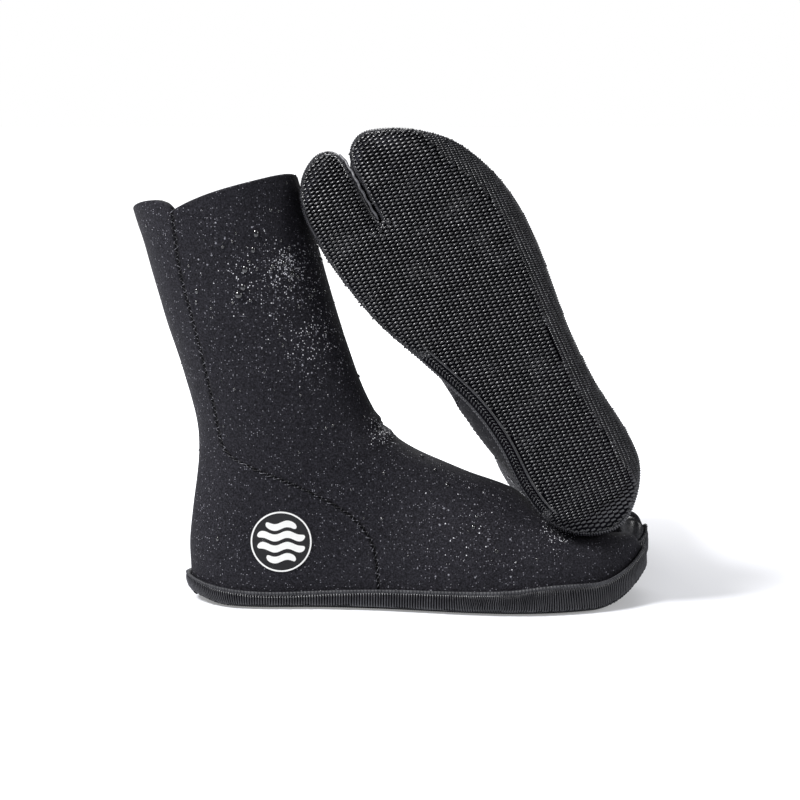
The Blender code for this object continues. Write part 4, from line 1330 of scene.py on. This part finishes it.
def tread():
    """The lens bumps of the sole and the fine grain of its edge."""
    p = lattice(1.0)
    d, strip = DISTANCE(*p.T), edge_strip(*p.T)
    wear = np.array([noise.noise(Vector((x / WEAR_SIZE, y / WEAR_SIZE, 3.0))) for x, y in p])
    fine = smooth(d - strip, 0.0, EDGE_FADE)
    heel = 1 - smooth(p[:, 0], *HEEL_BUMPS_UP_TO)
    height = TREAD_HEIGHT * (EDGE_HEIGHT + (1 - EDGE_HEIGHT) * fine) * (1 - 0.25 * heel)
    height = height * (1 - 0.45 * smooth(wear, 0.12, 0.5))
    size = (EDGE_SIZE + (1 - EDGE_SIZE) * fine) * (1 - 0.06 * heel)
    keep = d > strip
    across, along = TREAD_HALF
    parts = [bumps(LENS, p[keep], (across * size)[keep], (along * size)[keep], height[keep],
                   TREAD_TURN)]
    p = lattice(GRAIN_PITCH)
    d, strip = DISTANCE(*p.T), edge_strip(*p.T)
    keep = (d > STRIP_LEAST) & (d < strip + GRAIN_OVERLAP) & ~on_arch(*p.T)
    parts.append(bumps(GRAIN, p[keep], across * GRAIN_SIZE, along * GRAIN_SIZE, GRAIN_HEIGHT,
                       TREAD_TURN))
    return parts


WRINKLES, WRINKLE_SEED = 22, 5


def root_wrinkles():
    """Lumps of rubber where the split's two walls meet."""
    rng = np.random.default_rng(WRINKLE_SEED)
    far = rng.uniform(1.0, 9.0, WRINKLES)
    turn = rng.uniform(0.6 * math.pi, 1.4 * math.pi, WRINKLES)
    centres = np.column_stack([SPLIT_ROOT[0] + far * np.cos(turn),
                               -SPLIT_ROOT[1] + far * np.sin(turn)])
    return bumps(LENS, centres, rng.uniform(1.2, 2.4, WRINKLES), rng.uniform(0.5, 0.9, WRINKLES),
                 rng.uniform(0.9, 1.7, WRINKLES), rng.uniform(0.0, math.pi, WRINKLES))


ARCH_ROWS = [(3.5, 0.65), (5.6, -0.65)]        # mm in from the outline, turn from its heading
ARCH_BUMP = (1.35, 0.55, 0.5)                  # half length, half width, height
RIDGE_RUN, RIDGE_DEPTH, RIDGE_POINTS = (24.0, 160.0), 7.9, 6
# RIDGE_RELIEF: how little of the tread's painted shade the ridge gets
RIDGE_HALF, RIDGE_ROOT, RIDGE_HEIGHT, RIDGE_RELIEF = 0.85, 0.3, 0.8, 0.8


def arch_ribs():
    """The herringbone strip and the smooth ridge along the arch, on the inner side."""
    loop = evenly(sole_outline(60), 2.1)
    normals = outward_normals(loop)
    run = (loop[:, 0] > 30) & (loop[:, 0] < 154) & (loop[:, 1] > 0)
    heading = np.arctan2(normals[run, 0], -normals[run, 1])
    parts = [bumps(LENS, loop[run] - normals[run] * depth, *ARCH_BUMP, heading + turn)
             for depth, turn in ARCH_ROWS]
    loop = evenly(sole_outline(60), 0.8)
    normals = outward_normals(loop)
    start, end = RIDGE_RUN
    run = (loop[:, 0] > start) & (loop[:, 0] < end) & (loop[:, 1] > 0)
    spine = (loop - normals * RIDGE_DEPTH)[run]
    fade = window(spine[:, 0], (start, start + 12), (end - 16, end))
    rows = []
    for p, n, f in zip(spine, normals[run], fade):
        ring = []
        for a in np.linspace(0, math.pi, RIDGE_POINTS):
            q = p + n * RIDGE_HALF * math.cos(a)
            rise = RIDGE_ROOT - (RIDGE_ROOT + RIDGE_HEIGHT * f) * math.sin(a)
            ring.append((q[0], q[1], float(sole_z(*q)) + rise))
        rows.append(ring)
    verts = np.array(rows).reshape(-1, 3)
    faces = ring_faces(len(rows), RIDGE_POINTS, closed=False)
    return parts + [(verts, faces, np.full(len(verts), RIDGE_RELIEF))]


# painted shade: the plate is as dark as a groove, and only partly so beside the edge's grain
PLATE_RELIEF = 0.45            # shade of the plate between the edge's grain


def add_sole(side, looks):
    plate = sole_mesh()
    x, y = plate[0][:, 0], plate[0][:, 1]
    bare = PLATE_RELIEF * ((DISTANCE(x, y) < edge_strip(x, y) + 1.5) & ~on_arch(x, y))
    parts = [(*plate, bare)] + tread() + arch_ribs() + [root_wrinkles()]
    verts, faces = joined([p[:2] for p in parts])
    piece = make_piece(side, "tread_sole", tucked(verts), faces, [looks["tread"]],
                       facts={"relief": np.concatenate([p[2] for p in parts])}, sharp=62)
    fit(piece, side, "tread_rubber", "outsole")


INSOLE_GAP = 0.6               # mm between the insole's edge and the lining


def add_insole(side, looks):
    """The neoprene bottom layer, crowned and thinner round its edge."""
    edge = UPPER_INSET + NEOPRENE + INSOLE_GAP
    flat, tris = plan_mesh([(edge, 2.0), (8.3, 2.4), (10.0, 3.0), (12.5, 3.5)],
                           np.arange(10.0, 270.0, 4.0), np.arange(-52.0, 54.0, 4.0), 15.0)
    d = DISTANCE(*flat.T) - edge + 0.1
    swell = np.array([noise.noise(Vector((x / 22, y / 22, 8.0))) for x, y in flat])
    crown = INSOLE - 1.1 * (1 - smooth(d, 0.0, 4.0)) + 0.35 * swell * smooth(d, 2.0, 8.0)
    base = FOOT_BASE + spring(flat[:, 0])
    top = np.column_stack([flat, base + crown])
    low = np.column_stack([flat, base])
    piece = make_piece(side, "insole_board", np.vstack([top, low]),
                       slab_faces(tris, len(flat)), [looks["lining"]], sharp=50)
    fit(piece, side, "insole_fabric", "insole")


GUARD_ROWS, GUARD_LIFT, GUARD_THICKNESS, GUARD_EDGE = 18, 0.25, 1.1, 0.35
BIG_TOE_GUARD, GUARD_X = 4.0, (236.0, 262.0)   # it reaches higher on the big toe's wall
GUARD_TEXTURE = 0.20
SPLIT_SHUT_TO, SPLIT_OPEN_FROM, WALL_OVERLAP = 264.0, 274.0, 0.3


def wall_point(row, level, is_main):
    """The point of a lobe's wall in the split, from the band's edge (0) to near its top (1)."""
    top = row[:, 2].argmax()
    wall = row[top:] if is_main else row[:top + 1][::-1]
    low = BAND_HEIGHT[-1][1] + spring(row[0, 0]) - GUARD_MARGIN["low"]
    margin = GUARD_MARGIN["top"] - (0 if is_main else BIG_TOE_GUARD * smooth(row[0, 0], *GUARD_X))
    z = low + (wall[0, 2] - margin - low) * level
    return [row[0, 0], np.interp(z, wall[::-1, 2], wall[::-1, 1]), z]


def meeting(points, share):
    """The guard's face, drawn to the middle of the split behind the split's mouth."""
    x, y = points[..., 0], points[..., 1]
    middle = np.array([(UPPER_PLAN.y("main_inner", v) + UPPER_PLAN.y("big_inner", v)) / 2
                       for v in x.ravel()]).reshape(x.shape)
    target = middle - np.sign(y - middle) * WALL_OVERLAP
    pull = share * (1 - smooth(x, SPLIT_SHUT_TO, SPLIT_OPEN_FROM))
    points[..., 1] = y + (target - y) * pull
    return points


BINDING_END, BINDING_Z, BINDING_RADIUS = 277.0, 2.9, 0.85


def split_binding():
    """The raised edge of the rubber along the big toe's wall of the split."""
    rows = []
    for x in np.arange(SPLIT_ROOT[0] + 1.5, BINDING_END, 1.0):
        y = UPPER_PLAN.y("big_inner", x) - UPPER_INSET - 0.5
        y += 0.25 * math.sin(x * 0.9)
        z = spring(x) + BINDING_Z + 0.2 * math.sin(x * 1.7)
        radius = BINDING_RADIUS * min(1.0, (BINDING_END + 0.5 - x) / 3, (x - SPLIT_ROOT[0]) / 3)
        rows.append([(x, y + radius * math.cos(a), z + radius * math.sin(a)) for a in turns(8)])
    return np.array(rows).reshape(-1, 3), ring_faces(len(rows), 8, closed=False)


def add_guard(side, skin, looks):
    """Rubber on the walls of the split, from one lobe, round the root, to the other."""
    rows = []
    for level in np.linspace(1.0, 0.0, GUARD_ROWS + 1):
        row = []
        for grid, order in ((skin.main_rows, -1), (skin.big_rows, 1)):
            lobe = [wall_point(np.array(r), level, grid is skin.main_rows)
                    for r in grid[FOREFOOT_ROWS + 2:-2]]
            row += lobe[::order]
        rows.append(row)
    rows = np.array(rows)
    n = unit(np.cross(np.gradient(rows, axis=0), np.gradient(rows, axis=1)))
    edge = np.minimum(np.arange(GUARD_ROWS + 1), 2)[:, None, None] / 2
    ends = np.minimum(np.arange(rows.shape[1]), np.arange(rows.shape[1])[::-1])
    edge = edge * np.minimum(ends, 2)[None, :, None] / 2
    texture = GUARD_TEXTURE * (np.indices(rows.shape[:2]).sum(axis=0) % 2)[:, :, None]
    out = rows + n * (GUARD_LIFT + GUARD_EDGE + (GUARD_THICKNESS - GUARD_EDGE) * edge + texture)
    out = meeting(out, edge[..., 0])
    low = rows + n * GUARD_LIFT
    count, size = rows.shape[:2]
    verts = np.vstack([out.reshape(-1, 3), low.reshape(-1, 3)])
    faces = slab_faces(grid_faces(count, size), count * size)
    binding, binding_faces = split_binding()
    marks = [0] * len(faces) + [1] * len(binding_faces)
    verts, faces = joined([(verts, faces), (binding, binding_faces)])
    piece = make_piece(side, "toe_split_lining", verts, faces, [looks["tread"], looks["binding"]],
                       marks, facts={"relief": np.ones(len(verts))})
    fit(piece, side, "guard_rubber", "toe_split_guard")


# ---------------------------------------------------------------- badge

BADGE_SPOKES = 96
DISC_LIFTS, MOTIF_LIFTS = (0.02, 0.30), (0.25, 0.52)             # mm off the heel


def on_heel(u, v, lift):
    """A point of the badge, u toe-ward and v up from its centre, lifted off the heel."""
    x, z = BADGE_CENTRE[0] + u, BADGE_CENTRE[1] + v
    step = 0.5                                 # mm, for the slopes
    width = half_width(x, z, -1)
    slope_x = (half_width(x + step, z, -1) - width) / step
    slope_z = (half_width(x, z + step, -1) - width) / step
    n = Vector((-slope_x, -1.0, -slope_z)).normalized()
    swell = undulation((x, -width, z)) * float(smooth(z - FOOT_BASE, *SWELL_FADE))
    return np.array((x, -width, z)) + np.array(n) * (lift + swell)


def raised(points, low, high):
    """A closed slab over a grid of (u, v) points of the badge, from lift low to high."""
    rows, columns = len(points), len(points[0])
    flat = [p for row in points for p in row]
    verts = [on_heel(u, v, high) for u, v in flat] + [on_heel(u, v, low) for u, v in flat]
    sheet = [[a, d, c, b] for a, b, c, d in grid_faces(rows, columns)]
    return verts, slab_faces(sheet, rows * columns)


def ring_band(inner, outer, low, high, steps=3):
    angles = np.arange(BADGE_SPOKES + 1) / BADGE_SPOKES * 2 * math.pi
    points = [[(r * math.cos(a), r * math.sin(a)) for a in angles]
              for r in np.linspace(inner, outer, steps)]
    return raised(points, low, high)


WAVE_BARS = [(9.6, 4.0), (3.3, 4.2), (-3.3, 4.2), (-9.9, 4.0)]   # height of a bar's middle, width


WAVE_MARGIN, WAVE_HEIGHT, WAVE_RATE = 3.0, 1.1, 0.42


def wave_bar(middle, width, low, high):
    """One wavy bar across the badge, inside its ring."""
    reach = math.sqrt((BADGE_RADIUS - WAVE_MARGIN) ** 2 - (abs(middle) + width / 2 + 0.9) ** 2)
    us = np.linspace(-reach, reach, 56)
    points = []
    for part in np.linspace(-0.5, 0.5, 5):
        round_end = np.sqrt(np.clip(1 - (np.abs(us) / reach) ** 10, 0.0, 1.0))
        points.append([(u, middle + WAVE_HEIGHT * math.sin(u * WAVE_RATE)
                        + part * width * max(e, 0.12)) for u, e in zip(us, round_end)])
    return raised(points, low, high)


def add_badge(side, looks):
    """A round rubber print on the heel's outer side: a ring round four wavy bars."""
    disc = ring_band(0.05, BADGE_RADIUS, *DISC_LIFTS, steps=12)
    piece = make_piece(side, "badge_disc", *disc, [looks["badge_black"]], sharp=40)
    fit(piece, side, "badge_print", "heel_badge")
    white = [ring_band(BADGE_RADIUS - 1.35, BADGE_RADIUS - 0.45, *MOTIF_LIFTS)]
    white += [wave_bar(m, w, *MOTIF_LIFTS) for m, w in WAVE_BARS]
    piece = make_piece(side, "badge_motif", *joined(white), [looks["badge_white"]], sharp=40)
    fit(piece, side, "badge_print")


# ---------------------------------------------------------------- stage, light and camera

CAMERA_TARGET, CAMERA_DISTANCE = Vector((0.0, 0.0, 0.120)), 1.5
CAMERA_ELEVATION, CAMERA_LENS = math.radians(8.0), 112.5
LAMPS = [("key", (-1.1, -0.55, 1.5), (0, 0, 0.12), 0.55, 58.0),  # place, aim, size, watts
         ("side", (1.3, -0.5, 0.7), (0.05, 0, 0.12), 0.6, 7.0),
         ("back", (0.1, 1.2, 1.2), (0, 0, 0.15), 1.0, 14.0)]
FLOOR_SIZE, FLOOR_GAP = 9.0, 0.0004                    # its half side, and how far it lies down
FLOOR_FADE, FLOOR_GLOW = (0.18, 0.65), (0.28, 1.1)     # the floor is whiter away from the boots


def add_camera():
    data = bpy.data.cameras.new("camera")
    data.lens, data.sensor_width = CAMERA_LENS, 36.0
    camera = in_scene("camera", data)
    back = Vector((0.0, -math.cos(CAMERA_ELEVATION), math.sin(CAMERA_ELEVATION)))
    camera.location = CAMERA_TARGET + back * CAMERA_DISTANCE
    camera.rotation_euler = (-back).to_track_quat("-Z", "Y").to_euler()
    bpy.context.scene.camera = camera


def add_floor():
    """A white, slightly glossy floor."""
    bm = bmesh.new()
    bmesh.ops.create_grid(bm, x_segments=2, y_segments=2, size=FLOOR_SIZE)
    mesh = bpy.data.meshes.new("floor")
    bm.to_mesh(mesh)
    bm.free()
    m, tree, shader, _ = shader_nodes("white_gloss_floor", 0.22)
    shader.inputs["Base Color"].default_value = (0.84, 0.85, 0.90, 1.0)
    shader.inputs["Emission Color"].default_value = (1.0, 1.0, 1.0, 1.0)
    where = tree.nodes.new("ShaderNodeTexCoord")
    far = tree.nodes.new("ShaderNodeVectorMath")
    far.operation = "LENGTH"
    link(tree, where.outputs["Object"], far.inputs[0])
    glow = ramp(tree, far.outputs["Value"], *FLOOR_FADE, *FLOOR_GLOW)
    path = tree.nodes.new("ShaderNodeLightPath")
    link(tree, maths(tree, "MULTIPLY", glow, path.outputs["Is Camera Ray"]),
         shader.inputs["Emission Strength"])
    mesh.materials.append(m)
    floor = in_scene("floor", mesh)
    floor.location.z = -FLOOR_GAP


def add_light(name, place, aim, size, energy):
    data = bpy.data.lights.new(name, "AREA")
    data.shape, data.size, data.energy = "SQUARE", size, energy
    light = in_scene(name, data)
    light.location = place
    light.rotation_euler = (Vector(aim) - Vector(place)).to_track_quat("-Z", "Y").to_euler()


def add_world():
    """White to the camera, and a softer white as light."""
    world = bpy.data.worlds.new("studio")
    bpy.context.scene.world = world
    world.use_nodes = True
    tree = world.node_tree
    shown = tree.nodes["Background"]
    shown.inputs["Color"].default_value = (1.0, 1.0, 1.0, 1.0)
    shown.inputs["Strength"].default_value = 1.0
    light = tree.nodes.new("ShaderNodeBackground")
    light.inputs["Color"].default_value = (0.93, 0.95, 1.0, 1.0)
    light.inputs["Strength"].default_value = 0.17
    path, mix = tree.nodes.new("ShaderNodeLightPath"), tree.nodes.new("ShaderNodeMixShader")
    sources = (path.outputs["Is Camera Ray"], light.outputs[0], shown.outputs[0])
    for source, socket in zip(sources, mix.inputs):
        link(tree, source, socket)
    link(tree, mix.outputs[0], tree.nodes["World Output"].inputs["Surface"])


def add_stage():
    add_camera()
    add_floor()
    add_world()
    for lamp in LAMPS:
        add_light(*lamp)
    bpy.context.scene.view_settings.view_transform = "Standard"


# ---------------------------------------------------------------- the pair

def all_looks():
    return {
        "neoprene": neoprene_material(),
        "lining": lining_material(),
        "cut_edge": cut_edge_material(),
        "thread": thread_material(),
        "tape": tape_material(),
        "water": water_material(),
        # the groove colours of the band and the tread are painted shade in their hollows
        "band": rubber_material("sidewall_rubber", (0.014, 0.014, 0.018), (0.034, 0.034, 0.040),
                                0.36, groove=(0.002, 0.002, 0.003), specular=0.7),
        "beading": rubber_material("beaded_edge_rubber", (0.016, 0.016, 0.020),
                                   (0.042, 0.042, 0.048), 0.55),
        # painted highlight: the split's raised edge is a lighter copy of the rubber, standing in
        # for the light on it
        "binding": rubber_material("split_edge_rubber_painted_highlight", (0.045, 0.045, 0.050),
                                   (0.11, 0.11, 0.12), 0.4),
        "tread": rubber_material("tread_rubber", (0.0045, 0.0045, 0.006), (0.026, 0.026, 0.030),
                                 0.25, groove=(0.003, 0.003, 0.004), specular=0.6),
        "badge_black": print_material("badge_black", (0.006, 0.006, 0.007), (0.02, 0.02, 0.02),
                                      0.4),
        "badge_white": print_material("badge_white", (0.80, 0.80, 0.78), (0.55, 0.55, 0.53),
                                      0.45),
    }


def main():
    add_stage()
    looks = all_looks()
    skin = Skin()
    for side in BOOTS:
        add_panels(side, skin, looks)
        add_stitches(side, looks)
        add_tapes(side, looks)
        add_beads(side, skin, looks)
        add_band(side, skin, looks)
        add_sole(side, looks)
        add_insole(side, looks)
        add_guard(side, skin, looks)
        add_badge(side, looks)


main()
